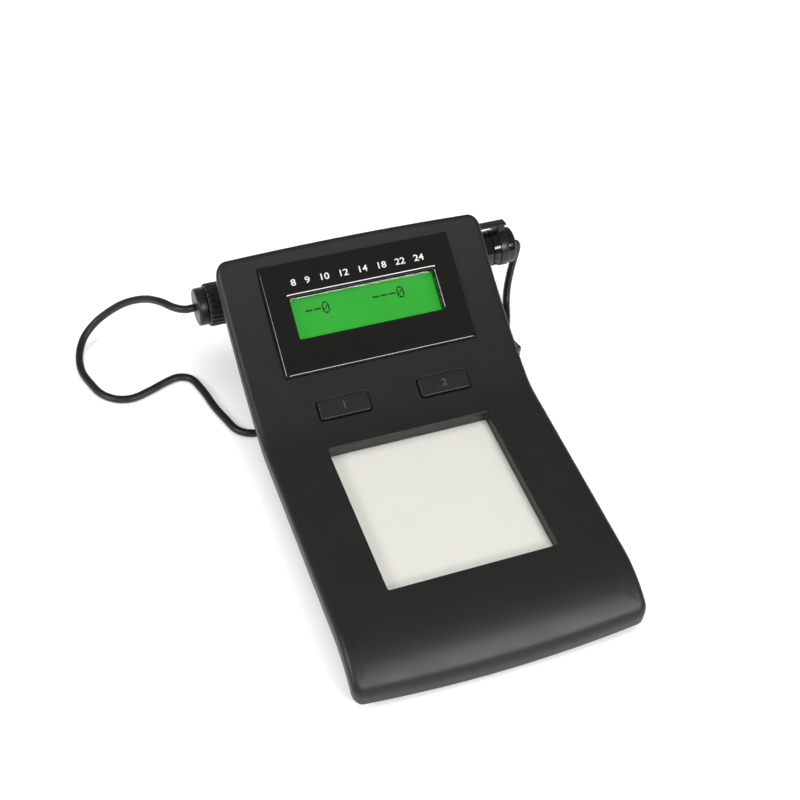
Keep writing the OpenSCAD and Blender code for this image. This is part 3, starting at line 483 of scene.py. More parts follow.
def outline_ring(fx, fy, k, side, front, back, least=(1.2, 1.2)):
    """The cover's outline moved in by side, front and back. Corner radii 4 and 5 shrink by the
    same amount, to least."""
    side, front, back = (np.broadcast_to(v, 2 * (len(fx) + len(fy)) - 4) for v in (side, front, back))
    parts, start = [], 0
    for shares, name in ((fx, "front"), (fy, "right"), (fx, "back"), (fy, "left")):
        angle, end, straight = side_steps(shares if name in ("front", "right") else 1 - shares[::-1], k)
        s, f, b = (v[start:start + len(angle)] for v in (side, front, back))
        start += len(angle)
        w = COVER_W / 2 - s
        rf = np.maximum(4.0 - np.maximum(s, f), least[0])
        rb = np.maximum(5.0 - np.maximum(s, b), least[1])
        if name in ("front", "back"):
            r = rf if name == "front" else rb
            x = (w - r) * (2 * straight - 1) + end * r * np.sin(angle)
            flat = np.clip(x, -(w - r), w - r)
            y = front_line(flat) + f + r * (1 - np.cos(angle)) if name == "front" else (
                back_line(flat) - b - r * (1 - np.cos(angle)))
            x = x if name == "front" else -x
        else:
            low, high = front_line(w - rf) + f + rf, back_line(w - rb) - b - rb
            going = straight if name == "right" else 1 - straight
            turn = end if name == "right" else -end
            r = np.where(turn < 0, rf, rb)
            y = low + (high - low) * going + turn * r * np.sin(angle)
            x = (w - r * (1 - np.cos(angle))) * (1 if name == "right" else -1)
        parts.append(np.stack([x, y], axis=-1))
    return np.concatenate(parts)


def soft_rectangle(fx, fy, k, a, b, r):
    """A loop round the rectangle of half sizes a and b with corner radius r, with the same count
    of points."""
    parts = []
    for turn, (shares, along, out) in enumerate(((fx, a, b), (fy, b, a), (fx, a, b), (fy, b, a))):
        angle, end, straight = side_steps(shares if turn < 2 else 1 - shares[::-1], k)
        s = (along - r) * (2 * straight - 1) + end * r * np.sin(angle)
        d = out - r * (1 - np.cos(angle))
        parts.append([(s, -d), (d, s), (-s, d), (-d, -s)][turn])
    return np.concatenate([np.stack(p, axis=-1) for p in parts])


def stations(breaks, step):
    """Even steps of about this size between each pair of breaks."""
    cuts = [np.linspace(a, b, max(1, math.ceil((b - a) / step)) + 1)[:-1] for a, b in zip(breaks, breaks[1:])]
    return np.concatenate(cuts + [[breaks[-1]]])


print("ramp turns about y, z =", round(RAMP_Y, 2), round(RAMP_Z, 2), "top at the back",
      round(float(top_z(BACK)), 2))

# %% [markdown]
# The top is a grid of points with four holes left out of it: the well, two keys and the
# display's seat. Rings with the same number of points then lead from each hole's edge over
# a small lip and down its wall to an inner grid, and from the outer edge over a quarter
# round, down the rim and back up inside. All of it together is one closed wall.

# %% Grid of the cover's top
HOLES = {"well": (-35.2, 35.2, -36.0, 36.0), "left": (-32.75, -9.25, 45.7, 55.9),
         "right": (9.25, 32.75, 45.7, 55.9), "seat": (-41.6, 41.6, 64.4, 105.9)}
XS = stations([-49.5, -41.6, -35.2, -32.75, -9.25, 9.25, 32.75, 35.2, 41.6, 49.5], 1.5)
YS = stations([FRONT + 7, -36, 36, 45.7, 55.9, 64.4, 105.9, BACK - 3.2], 1.3)


def top_grid(drop):
    """Rows keep their y, but the first rows bend with the front line and the last row with the back line."""
    x, y = np.meshgrid(XS, YS)
    front = np.clip((-36 - y) / (-36 - YS[0]), 0, 1)
    back = np.clip((y - 105.9) / (YS[-1] - 105.9), 0, 1)
    y = y + front * (front_line(x) - FRONT) + back * (back_line(x) - BACK)
    return np.stack([x, y, top_z(y) - drop], axis=-1)


def index_of(values, at): return int(np.argmin(np.abs(values - at)))


def hole_box(name):
    x0, x1, y0, y1 = HOLES[name]
    return index_of(XS, x0), index_of(XS, x1), index_of(YS, y0), index_of(YS, y1)


keep_cells = np.ones((len(YS) - 1, len(XS) - 1), bool)
for name in HOLES:
    i0, i1, j0, j1 = hole_box(name)
    keep_cells[j0:j1, i0:i1] = False


def grid_loop(grid, i0, i1, j0, j1):
    """The points round a block of the grid: along the front, up the right, back along the rear,
    down the left."""
    return np.concatenate([grid[j0, i0:i1], grid[j0:j1, i1], grid[j1, i1:i0:-1], grid[j1:j0:-1, i0]])


def shares_of(values, a, b): return (values[a:b + 1] - values[a]) / (values[b] - values[a])


outer, inner = top_grid(0.0), top_grid(WALL)
print("cover grid", outer.shape[:2], "cells left out", int((~keep_cells).sum()))

# %% Rings from the cover's edge to its inner wall
FX, FY = shares_of(XS, 0, len(XS) - 1), shares_of(YS, 0, len(YS) - 1)
EDGE_K = 4


def rim_ring(inset, drop=None, z_from_rim=None, back=None, **more):
    """Inset outline at the top surface less drop, or at a height over the rim's lower edge."""
    flat = outline_ring(FX, FY, EDGE_K, inset, inset, inset if back is None else back, **more)
    if drop is not None:
        z = top_z(flat[:, 1]) - drop
    else:
        z = top_z(outline_ring(FX, FY, EDGE_K, 0, 0, 0)[:, 1]) - RIM + z_from_rim
    return np.column_stack([flat, z])


whole = (0, len(XS) - 1, 0, len(YS) - 1)
angles = np.linspace(0, math.pi / 2, 9)
rings = [grid_loop(outer, *whole), rim_ring(4.4, 0.0, back=2.8)]
rings += [rim_ring(EDGE_R * (1 - math.sin(a)), EDGE_R * (1 - math.cos(a))) for a in angles]
rings += [rim_ring(0, z_from_rim=h) for h in (1.8, 0.5)]
rings += [rim_ring(0.5 * (1 - math.cos(a)), z_from_rim=0.5 * (1 - math.sin(a))) for a in angles[2::2]]
rings += [rim_ring(WALL - 0.3, z_from_rim=0.0), rim_ring(WALL, z_from_rim=0.3),
          rim_ring(WALL, z_from_rim=2.8)]
rings += [rim_ring(WALL + 0.1, WALL + 0.8), rim_ring(WALL + 0.6, WALL), grid_loop(inner, *whole)]
cover_grids = [(outer, False, keep_cells), (inner, False, keep_cells), (np.stack(rings), True, None)]
print("edge rings", np.stack(rings).shape)

# %% Rings of the well, the key holes and the display's seat
WELL_W, WELL_L, LIP = 66.4, 68.0, 0.55


def hole_rings(name, k, steps):
    """Rings for one hole: the outer grid's edge, the given (a, b, r, place) steps, and the inner
    grid's edge."""
    box = hole_box(name)
    fx, fy = shares_of(XS, box[0], box[1]), shares_of(YS, box[2], box[3])
    rings = [grid_loop(outer, *box)]
    rings += [place(soft_rectangle(fx, fy, k, a, b, r)) for a, b, r, place in steps]
    rings.append(grid_loop(inner, *box))
    return np.stack(rings), True, None


def level(z): return lambda flat: np.column_stack([flat, np.full(len(flat), z)])


def lip_steps(a, b, r, radius, count=4):
    """A quarter round from the surface into a hole: sizes shrink by radius * (1 - sin), drops grow
    by radius * (1 - cos)."""
    turn = np.linspace(0, math.pi / 2, count + 1)
    grow = radius * (1 - np.sin(turn))
    return [(a + g, b + g, r + g, d) for g, d in zip(grow, radius * (1 - np.cos(turn)))]


well_steps = [(a, b, r, level(DECK - d)) for a, b, r, d in lip_steps(WELL_W / 2, WELL_L / 2, 0.8, LIP)]
well_steps += [(WELL_W / 2, WELL_L / 2, 0.8, level(z)) for z in (2.0, 0.1)]
well_steps += [(WELL_W / 2 + 0.3, WELL_L / 2 + 0.3, 1.1, level(-0.2)),
               (WELL_W / 2 + 1.8, WELL_L / 2 + 1.8, 2.0, level(-0.2)),
               (WELL_W / 2 + 1.8, WELL_L / 2 + 1.8, 2.0, level(DECK - WALL))]
cover_grids.append(hole_rings("well", 3, well_steps))


class Slope:
    """A flat place on the ramp: u runs along X, v up the slope and n out of it."""

    def __init__(self, x, y, z, tilt):
        self.centre, self.tilt = np.array([x, y, z], float), tilt
        self.along = np.array([0, math.cos(tilt), math.sin(tilt)])
        self.out = np.array([0, -math.sin(tilt), math.cos(tilt)])

    def at(self, u, v, n=0.0):
        """Point = centre + u * X + v * along + n * out."""
        u, v, n = np.broadcast_arrays(u, v, n)
        return (self.centre + u[..., None] * np.array([1.0, 0, 0])
                + v[..., None] * self.along + n[..., None] * self.out)

    def skin(self, flat, drop):
        """Points over (u, v) on the cover's surface, then moved along n by -drop."""
        y = self.centre[1] + flat[:, 1] * self.along[1]
        on_top = np.column_stack([self.centre[0] + flat[:, 0], y, top_z(y)])
        return on_top - drop * self.out

    def inside(self, flat):
        y = self.centre[1] + flat[:, 1] * self.along[1]
        return np.column_stack([self.centre[0] + flat[:, 0], y, top_z(y) - WALL])


KEY_TILT = math.asin((KEY_Y - RAMP_Y) / RAMP_R)
KEYS = {side: Slope(sign * 21.0, KEY_Y, top_z(KEY_Y), KEY_TILT)
        for side, sign in (("left", -1), ("right", 1))}
for side, slope in KEYS.items():
    steps = [(a, b, r, lambda flat, s=slope, d=d: s.skin(flat, d))
             for a, b, r, d in lip_steps(10.75, 4.25, 1.4, 0.35, 3)]
    steps += [(10.75, 4.25, 1.4, lambda flat, s=slope: s.inside(flat))]
    cover_grids.append(hole_rings(side, 3, steps))

PANEL_TILT = math.atan2(float(top_z(105.3) - top_z(65.3)), 40.0)
PANEL = Slope(0, 85.3, (top_z(65.3) + top_z(105.3)) / 2, PANEL_TILT)
PANEL_W, PANEL_L = 81.0, 40.0 / math.cos(PANEL_TILT)
SEAT = -(PANEL.centre[2] - float(top_z(85.3))) * math.cos(PANEL_TILT) - 0.4
VIEW_V = 0.0
seat_a, seat_b = PANEL_W / 2 + 0.1, PANEL_L / 2 + 0.1
steps = [(seat_a, seat_b, 0.3, lambda flat: PANEL.skin(flat, 0.0)),
         (seat_a, seat_b, 0.3, lambda flat: PANEL.at(flat[:, 0], flat[:, 1], SEAT)),
         (33.1, 11.1, 0.3, lambda flat: PANEL.at(flat[:, 0], flat[:, 1] + VIEW_V, SEAT)),
         (33.1, 11.1, 0.3, lambda flat: PANEL.inside(flat + [0, VIEW_V]))]
cover_grids.append(hole_rings("seat", 2, steps))
cover = build("cover", cover_grids, crease=40)
cover.data.materials.append(housing_black.material)
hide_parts("top_cover")
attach(cover, "housing")
report(cover)

# %% [markdown]
# The display's surround is a raised gloss frame with a rolled bevel outside and a lip that
# rolls down into the window. It is a stack of rectangles in the ramp's own plane: each one
# has a size, a corner radius and a height, and the last one closes against the first.

# %% Display surround
EVEN = np.linspace(0, 1, 25)


def slope_ring(slope, a, b, r, n, v=0.0, k=3):
    """One soft rectangle at height n over the slope's plane."""
    flat = soft_rectangle(EVEN, EVEN, k, a, b, r)
    return slope.at(flat[:, 0], flat[:, 1] + v, n)


VIEW_A, VIEW_B, PROUD, SKIRT = 30.5, 8.5, 1.3, SEAT - 1.6
quarter = np.linspace(0, math.pi / 2, 8)
panel_rings = [slope_ring(PANEL, VIEW_A + 2.4, VIEW_B + 2.4, 1.0, SEAT + 0.1, VIEW_V),
               slope_ring(PANEL, PANEL_W / 2 - 0.3, PANEL_L / 2 - 0.3, 0.5, SEAT + 0.1),
               slope_ring(PANEL, PANEL_W / 2, PANEL_L / 2, 0.6, SEAT + 0.4)]
panel_rings += [slope_ring(PANEL, PANEL_W / 2 - 1.2 * (1 - math.cos(a)),
                           PANEL_L / 2 - 1.2 * (1 - math.cos(a)),
                           0.6 + 0.5 * (1 - math.cos(a)), PROUD - 1.2 + 1.2 * math.sin(a)) for a in quarter]
LIP_U, LIP_V = 3.8, 2.4
panel_rings += [slope_ring(PANEL, VIEW_A + LIP_U + 1.0, VIEW_B + LIP_V + 1.0, 2.4, PROUD, VIEW_V)]
panel_rings += [slope_ring(PANEL, VIEW_A + LIP_U * (1 - math.sin(a)), VIEW_B + LIP_V * (1 - math.sin(a)),
                           0.6 + 1.4 * (1 - math.sin(a)), PROUD - 1.6 * (1 - math.cos(a)), VIEW_V)
                for a in quarter]
panel_rings += [slope_ring(PANEL, VIEW_A, VIEW_B, 0.5, SKIRT, VIEW_V),
                slope_ring(PANEL, VIEW_A + 2.4, VIEW_B + 2.4, 1.0, SKIRT, VIEW_V)]
panel_rings.append(panel_rings[0])
surround = build("display_surround", [(np.stack(panel_rings), True, None)], crease=50)
surround.data.materials.append(panel_gloss.material)
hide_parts("display_panel")
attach(surround, "housing")
report(surround)

# %% [markdown]
# Printed numbers and the marks on the switch are real letters: a text curve is made a
# mesh, given a hair of thickness, and laid on its surface.

# %% Printed marks
ink_white = moulded_plastic("ink_white", (0.72, 0.71, 0.68), 0.5, 0.2, 0.002)
ink_grey = moulded_plastic("ink_grey", (0.050, 0.050, 0.050), 0.5, 0.2, 0.002)


def lettering(name, words, height, place, ink, body, lift=0.02, spread=1.0, weight=0.0):
    """Text outlines scaled to this height of capitals, then point (u, v, n) goes through place."""
    curve = bpy.data.curves.new(name, "FONT")
    curve.body, curve.align_x, curve.align_y, curve.size = words, "CENTER", "CENTER", 1.0
    curve.extrude, curve.offset, curve.space_character = 0.01, weight, spread
    curve.resolution_u = 4
    drawn = bpy.data.objects.new(name, curve)
    mesh = bpy.data.meshes.new_from_object(drawn)
    bpy.data.objects.remove(drawn)
    co = np.empty(len(mesh.vertices) * 3, np.float32)
    mesh.vertices.foreach_get("co", co)
    co = co.reshape(-1, 3) * height / 0.69
    thin = np.where(co[:, 2] > 0, lift, 0.002)
    mesh.vertices.foreach_set("co", (place(co[:, 0], co[:, 1], thin) * MM).astype(np.float32).ravel())
    mesh.update()
    tidy_mesh(mesh, 30, 1e-7)
    made = bpy.data.objects.new(name, mesh)
    bpy.context.scene.collection.objects.link(made)
    mesh.materials.append(ink.material)
    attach(made, body)
    return made


scale_row = lettering("karat_numbers", "8   9   10   12   14   18   22   24", 2.6,
                      lambda u, v, n: PANEL.at(u * 1.17 - 0.4, v + 14.3, PROUD + n), ink_white, "housing",
                      weight=0.012)
report(scale_row)

# %% [markdown]
# The two keys are small soft bars that stand just proud of the ramp. Each one keeps its
# flange under the cover and a stem over its switch, so it is a longer stack of rings.

# %% Keys
KEY_A, KEY_B, KEY_PROUD = 10.5, 4.0, 1.2
KEY_SKIN = WALL * math.cos(KEY_TILT)
FLANGE_TOP = KEY_SKIN + 0.6
STEM_END = FLANGE_TOP + 1.0 + 2.2
ROUND = 0.55


def key_rings(slope):
    """From the crowned top out over a rounded edge, down to the flange, in to the stem and to its foot."""
    rings = [slope_ring(slope, KEY_A * s, KEY_B * s, 1.2 * s, KEY_PROUD + 0.10 * (1 - s * s), k=4)
             for s in (0.02, 0.35, 0.7)]
    rings += [slope_ring(slope, KEY_A - ROUND * (1 - math.sin(a)), KEY_B - ROUND * (1 - math.sin(a)),
                         1.2 - 0.3 * (1 - math.sin(a)), KEY_PROUD - ROUND * (1 - math.cos(a)), k=4)
              for a in quarter]
    rings += [slope_ring(slope, a, b, r, n, k=4) for a, b, r, n in (
        (KEY_A, KEY_B, 1.2, -FLANGE_TOP + 0.01), (KEY_A + 1.5, KEY_B + 1.2, 1.2, -FLANGE_TOP),
        (KEY_A + 1.5, KEY_B + 1.2, 1.2, -FLANGE_TOP - 1.0), (2.0, 2.0, 1.9, -FLANGE_TOP - 1.01),
        (2.0, 2.0, 1.9, -STEM_END), (0.02, 0.02, 0.019, -STEM_END))]
    centre = slope.at(0.0, 0.0, KEY_PROUD + 0.1)
    foot = slope.at(0.0, 0.0, -STEM_END)
    count = rings[0].shape[0]
    return np.stack([np.tile(centre, (count, 1))] + rings + [np.tile(foot, (count, 1))])


for side, slope in KEYS.items():
    key = build(f"{side}_key_cap", [(key_rings(slope), True, None)], crease=45)
    key.data.materials.append(key_black.material)
    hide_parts(f"{side}_key")
    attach(key, f"{side}_key")
    report(key)
    lettering(f"{side}_key_mark", "1" if side == "left" else "2", 3.0,
              lambda u, v, n, s=slope: s.at(u, v, KEY_PROUD + 0.1 + n), ink_grey, f"{side}_key",
              weight=0.02)

# %% [markdown]
# The lit display is a green field behind the window. A character module shows its dot
# cells faintly even where nothing is written, so the field carries a grid of cells, and
# the dark dots of the reading lie just over the glass.

# %% Lit field
LCD_TOP = SKIRT - 0.1 - 0.9 - 0.1
GLASS_N = LCD_TOP - 0.5 - 0.1
GLASS_A, GLASS_B, GLASS_T = (61 + 8.8 - 1.0 - 0.2) / 2, (17 + 7 - 1.0 - 0.2) / 2, 2.2
CELL_W, CELL_H, CELL_X, CELL_Y = 2.96, 5.56, 3.55, 5.94
DOT_X, DOT_Y = 0.60, 0.70
LINE_V = VIEW_V + CELL_Y / 2

lcd_green = Finish("lcd_green", **{"Roughness": 0.32, "Emission Strength": 1.0})
flat_lcd = lcd_green.place(turn=(-PANEL_TILT, 0, 0), scale=(1, 1, 1))
parts = lcd_green.node("ShaderNodeSeparateXYZ", {}, {0: flat_lcd}, output=0).socket.node
centre_v = float(PANEL.centre[1] * math.cos(PANEL_TILT) + PANEL.centre[2] * math.sin(PANEL_TILT)) + VIEW_V
lcd_u = Wire(lcd_green, parts.outputs[0]) * (1 / MM)
lcd_v = Wire(lcd_green, parts.outputs[1]) * (1 / MM) - centre_v
across = (lcd_u * (1 / CELL_X)).wave() * CELL_X
along = ((lcd_v + CELL_Y) * (1 / CELL_Y)).wave() * CELL_Y
in_cell = (across > (CELL_X - CELL_W) / 2) * (CELL_X - (CELL_X - CELL_W) / 2 - across > 0) \
    * (along > (CELL_Y - CELL_H) / 2) * (CELL_Y - (CELL_Y - CELL_H) / 2 - along > 0)
in_rows = (lcd_v.size() * -1 + CELL_Y > 0) * (lcd_u.size() * -1 + 8 * CELL_X > 0)
dots = (((across - (CELL_X - CELL_W) / 2) * (1 / DOT_X)).wave() < 0.92) \
    * (((along - (CELL_Y - CELL_H) / 2) * (1 / DOT_Y)).wave() < 0.93)
glow = lcd_green.noise(22.0, 1.0)
# Painted shade: the shade of the window's lip and walls is painted into the field, whose colour and glow fall
# to about 0.82 towards its sides and ends.
edge = (lcd_u.size().span(26, 31, 1, 0.82)) * (lcd_v.size().span(5.5, 8.8, 1, 0.84))
shade = (1 - in_cell * in_rows * dots * 0.055) * edge * glow.span(0.3, 0.7, 0.96, 1.03)
lcd_green.set(Base_Color=lcd_green.between(shade, (0.001, 0.02, 0.001), (0.004, 0.075, 0.005)),
              Emission_Color=lcd_green.between(shade, (0.0, 0.0, 0.0), (0.026, 0.44, 0.030)))


def slope_slab(slope, a, b, r, low, high, v=0.0):
    """A closed slab with small rounded edges: centre, top edge round, bottom edge round, centre."""
    e = min(0.15, (high - low) / 3)
    rings = [slope_ring(slope, a * s, b * s, r * s, high, v) for s in (0.02, 0.5)]
    rings += [slope_ring(slope, a - e, b - e, max(r - e, 0.05), high, v),
              slope_ring(slope, a, b, r, high - e, v),
              slope_ring(slope, a, b, r, low + e, v),
              slope_ring(slope, a - e, b - e, max(r - e, 0.05), low, v)]
    rings += [slope_ring(slope, a * s, b * s, r * s, low, v) for s in (0.5, 0.02)]
    count = rings[0].shape[0]
    ends = [np.tile(slope.at(0.0, v, n), (count, 1)) for n in (high, low)]
    return np.stack([ends[0]] + rings + [ends[1]])


field = build("lit_field",
              [(slope_slab(PANEL, GLASS_A, GLASS_B, 0.4, GLASS_N - GLASS_T, GLASS_N, VIEW_V), True, None)])
field.data.materials.append(lcd_green.material)
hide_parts("lcd_glass")
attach(field, "housing")
report(field)

# %% Tin frame round the glass
FRAME_A, FRAME_B = 34.9, 12.0
frame_loops = [(FRAME_A - 0.5, FRAME_B - 0.5, LCD_TOP - 4.6), (FRAME_A, FRAME_B, LCD_TOP - 4.6),
               (FRAME_A, FRAME_B, LCD_TOP - 0.3),
               (FRAME_A - 0.3, FRAME_B - 0.3, LCD_TOP), (VIEW_A + 0.6, VIEW_B + 0.6, LCD_TOP),
               (VIEW_A + 0.5, VIEW_B + 0.5, LCD_TOP - 0.1), (VIEW_A + 0.5, VIEW_B + 0.5, LCD_TOP - 0.5),
               (FRAME_A - 0.5, FRAME_B - 0.5, LCD_TOP - 0.5), (FRAME_A - 0.5, FRAME_B - 0.5, LCD_TOP - 4.6)]
tin = build("glass_frame",
            [(np.stack([slope_ring(PANEL, a, b, 0.4, n, VIEW_V) for a, b, n in frame_loops]), True, None)])
tin.data.materials.append(tin_frame.material)
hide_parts("lcd_frame")
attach(tin, "housing")
report(tin)

# %% Dots of the reading
GLYPHS = {"-": "00000 00000 00000 11111 00000 00000 00000",
          "0": "01110 10001 10011 10101 11001 10001 01110"}
SHOWN = [("-", -7), ("-", -6), ("0", -5), ("-", 1), ("-", 2), ("-", 3), ("0", 4)]


def dot_centres(shown):
    """Centre of every dark dot: column pitch 0.60, row pitch 0.70, cells 3.55 apart, in (u, v)."""
    found = []
    for sign, cell in shown:
        rows = np.array([[int(bit) for bit in row] for row in GLYPHS[sign].split()])
        r, c = np.nonzero(rows)
        found.append(np.column_stack([(cell + 0.5) * CELL_X + (c - 2) * DOT_X, LINE_V + (3.5 - r) * DOT_Y]))
    return np.concatenate(found)


def dot_boxes(centres, w, h, low, high):
    """Each dot is a ring of four corners at two heights, closed by a pole: eight rows of quads in
    one array."""
    corner = np.array([[-1, -1], [1, -1], [1, 1], [-1, 1]]) * [w / 2, h / 2]
    flat = centres[:, None, :] + corner[None]
    loops = [PANEL.at(flat[..., 0], flat[..., 1], n) for n in (high, low)]
    middle = [np.repeat(PANEL.at(centres[:, 0], centres[:, 1], n)[:, None], 4, axis=1) for n in (high, low)]
    return np.stack([middle[0], loops[0], loops[1], middle[1]], axis=1)


boxes = dot_boxes(dot_centres(SHOWN), 0.56, 0.66, GLASS_N + 0.01, GLASS_N + 0.06)
dots_dark = moulded_plastic("dot_dark", (0.004, 0.012, 0.004), 0.4, 0.3, 0.001)
reading = build("reading_dots", [(box, True, None) for box in boxes], merge=1e-7)
reading.data.materials.append(dots_dark.material)
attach(reading, "housing")
report(reading)

# %% [markdown]
# Round pieces lie along X at the back: a profile of (x, radius) points is turned about the
# tube's axis. Where the real edge is rounded, the profile gets an arc there.

# %% Turned pieces
AXIS_Y, AXIS_Z = 112.5, 16.0


def arc(cx, cr, radius, start, stop, count=6):
    """Points (cx + radius * cos t, cr + radius * sin t) for t from start to stop, in degrees."""
    t = np.radians(np.linspace(start, stop, count))
    return np.column_stack([cx + radius * np.cos(t), cr + radius * np.sin(t)])


def turned_grid(profile, around=72, ripple=None):
    """Point (i, a) = (x_i, axis_y + r * cos a, axis_z + r * sin a), where r may be rippled over a."""
    profile = np.asarray(profile, float)
    a = np.linspace(0, 2 * np.pi, around, endpoint=False)
    r = profile[:, 1][:, None] * np.ones(around)
    if ripple is not None:
        r = r + ripple(profile[:, 0][:, None], a[None, :])
    return np.stack([profile[:, 0][:, None] * np.ones(around), AXIS_Y + r * np.cos(a),
                     AXIS_Z + r * np.sin(a)], axis=-1)


def turned(name, profile, finish, body, node=None, around=72, ripple=None, crease=35):
    made = build(name, [(turned_grid(profile, around, ripple), True, None)], crease=crease)
    made.data.materials.append(finish.material)
    if node:
        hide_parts(node)
    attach(made, body)
    return report(made)


barrel = np.vstack([[[-8.3, 0.0], [-8.3, 6.9]], arc(-7.7, 6.9, 0.6, 180, 90),
                    [[x, 7.8] for x in np.linspace(-6, 64.3, 12)],
                    arc(64.3, 7.4, 0.4, 90, 0, 4), [[64.7, 0.0]]])
turned("barrel", barrel, pen_black, "pen", "pen_barrel")
cap = np.vstack([[[64.8, 0.0], [64.8, 7.45]], arc(65.15, 7.45, 0.35, 180, 90, 4), [[68, 7.8], [72, 7.8]],
                 arc(74.2, 6.6, 1.2, 90, 0, 10), [[75.4, 2.9]], arc(75.6, 2.7, 0.2, 180, 90, 3),
                 arc(75.8, 2.3, 0.3, 80, 0, 4), [[76.1, 0.0]]])
turned("tail_cap", cap, pen_black, "pen", "pen_tail_cap")
nose = np.vstack([[[-24.3, 0.0], [-24.3, 2.2]], arc(-24.0, 2.2, 0.3, 180, 90, 3),
                  [[-22.3, 2.9], [-17, 4.3], [-11.3, 6.5],
                  [-9.4, 6.9], [-8.4, 6.9], [-8.4, 0.0]]])
turned("nose_cone", nose, pen_black, "pen", "pen_nose")

# %% Plug with its ribbed grip
RIBS = 24


def ribs(x, a):
    """Half-round ribs: height 0.45 * sqrt(1 - s^2) with s from -1 to 1 across each rib, faded over
    0.8 mm at both ends."""
    s = ((a * RIBS / (2 * np.pi) + 0.5) % 1 - 0.5) * 2.9
    height = 0.45 * np.sqrt(np.clip(1 - s**2, 0, 1))
    ends = np.clip((x + 59.7) / 0.8, 0, 1) * np.clip((-51.5 - x) / 0.8, 0, 1)
    return height * np.sqrt(ends)


ring_r = (17.7 - 0.9) / 2
grip = np.vstack([[[-59.9, 5.9], [-59.9, ring_r - 0.5]], arc(-59.4, ring_r - 0.5, 0.5, 180, 90, 5),
                  [[x, ring_r] for x in np.linspace(-59.1, -52.1, 15)],
                  arc(-51.8, ring_r - 0.5, 0.5, 90, 0, 5),
                  [[-51.3, 5.9], [-59.9, 5.9]]])
turned("grip_ring", grip, plug_black, "plug", "plug_ring", around=240, ripple=lambda x,
       a: ribs(x, a) * (
    np.abs(x + 55.6) < 4.3), crease=50)
shell = np.vstack([[[-64.4, 0.0], [-64.4, 2.2]], arc(-64.0, 2.2, 0.4, 180, 120, 3), [[-64.1, 6.4]],
                   arc(-63.2, 6.85, 0.9, 175, 90, 7), [[-60.3, 7.75]], arc(-60.3, 7.55, 0.2, 90, 0, 3),
                   [[-60.0, 0.0]]])
turned("plug_back", shell, plug_black, "plug", "plug_shell")

# %% [markdown]
# The pen's clip is a flat spring strip above the tube, moulded on a collar. Its section is
# a rounded rectangle that is swept along X, thinned and turned in at the free end.

# %% Clip and collar
CLIP_TURN = math.radians(75)


def clip_grid():
    """Section: superellipse |p/w|^4 + |q/t|^4 = 1, with width and height changing along x."""
    s = np.concatenate([np.linspace(0, 0.12, 9), np.linspace(0.16, 0.9, 14), np.linspace(0.93, 1, 5)])
    x = 34.0 + s * 38.4
    tip = np.sqrt(np.clip(1 - (1 - np.clip(s / 0.07, 0, 1))**2, 0, 1))
    w = 2.5 * (0.25 + 0.75 * tip)
    t = 0.6 * (0.35 + 0.65 * tip)
    lift = 11.0 - 0.35 * np.exp(-((s - 0.06) / 0.035)**2)
    a = np.linspace(0, 2 * np.pi, 32, endpoint=False)
    p = np.sign(np.cos(a)) * np.abs(np.cos(a))**0.5
    q = np.sign(np.sin(a)) * np.abs(np.sin(a))**0.5
    side, out = w[:, None] * p, lift[:, None] + t[:, None] * q
    cy, cz = math.cos(CLIP_TURN), math.sin(CLIP_TURN)
    grid = np.stack([x[:, None] * np.ones(32), AXIS_Y + out * cy - side * cz, AXIS_Z + out * cz + side * cy],
                    axis=-1)
    ends = [np.tile(row.mean(0), (1, 32, 1)) for row in (grid[0], grid[-1])]
    return np.concatenate([ends[0], grid, ends[1]])


collar = np.vstack([[[68.0, 7.82], [68.0, 7.9]], arc(68.3, 7.9, 0.3, 180, 90, 4),
                    arc(71.6, 7.9, 0.3, 90, 0, 4),
                    [[71.9, 7.82], [68.0, 7.82]]])
strip = (clip_grid(), True, None)


def root_grid():
    """A rounded post from the collar to the strip: soft rectangles 1.7 by 2.4 mm, stacked outward."""
    flat = soft_rectangle(np.linspace(0, 1, 9), np.linspace(0, 1, 9), 2, 1.7, 2.4, 0.4)
    out = np.array([7.9, 8.8, 9.8, 10.8])
    cy, cz = math.cos(CLIP_TURN), math.sin(CLIP_TURN)
    x = 70.0 + np.broadcast_to(flat[None, :, 0], (4, len(flat)))
    side, far = np.broadcast_to(flat[None, :, 1], x.shape), np.broadcast_to(out[:, None], x.shape)
    grid = np.stack([x, AXIS_Y + far * cy - side * cz, AXIS_Z + far * cz + side * cy], axis=-1)
    ends = [np.tile(row.mean(0), (1, len(flat), 1)) for row in (grid[0], grid[-1])]
    return np.concatenate([ends[0], grid, ends[1]])


clip = build("clip", [strip, (turned_grid(collar), True, None), (root_grid(), True, None)], crease=40)
clip.data.materials.append(clip_black.material)
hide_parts("pen_clip")
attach(clip, "pen")
report(clip)

# %% [markdown]
# The base is a tray with leaning walls and a lip inside the cover. Its skin is a stack of
# outlines, and then the tube, the switch's pad and the battery bay are joined on, and all
# openings are cut, with Boolean modifiers whose result is kept as the mesh.

# %% Tray of the base
BASE_Z, FLOOR_Z = -10.5, -8.3
BX, BY = np.linspace(0, 1, 41), np.linspace(0, 1, 81)
BASE_K = 8


def base_flat(side, front, back, least): return outline_ring(BX, BY, BASE_K, side, front, back, least)


rim_y = base_flat(0, 0, 0, (1.2, 1.2))[:, 1]
step_z = np.maximum(top_z(rim_y) - RIM - 0.2, BASE_Z + 1.2)


def lean(extra): return 1.4 + extra + (step_z - BASE_Z) * math.tan(math.radians(15.5)), 2.6 + extra, \
    1.4 + extra + (step_z - BASE_Z) * math.tan(math.radians(5))


def tray_ring(flat, z): return np.column_stack([flat, np.broadcast_to(z, len(flat))])


def leaning_ring(extra, z, share=0.0, front=0.0):
    """The wall's ruling goes from the underside's outline to the step's outline; share says how far up."""
    s, f, b = lean(extra)
    low = base_flat(s, f + front, b, (4.0 - extra * 0.5, 13.0 - extra))
    high = base_flat(1.4 + extra, 2.6 + extra, 1.4 + extra, (4.0, 1.2))
    return tray_ring(low + (high - low) * share, z)


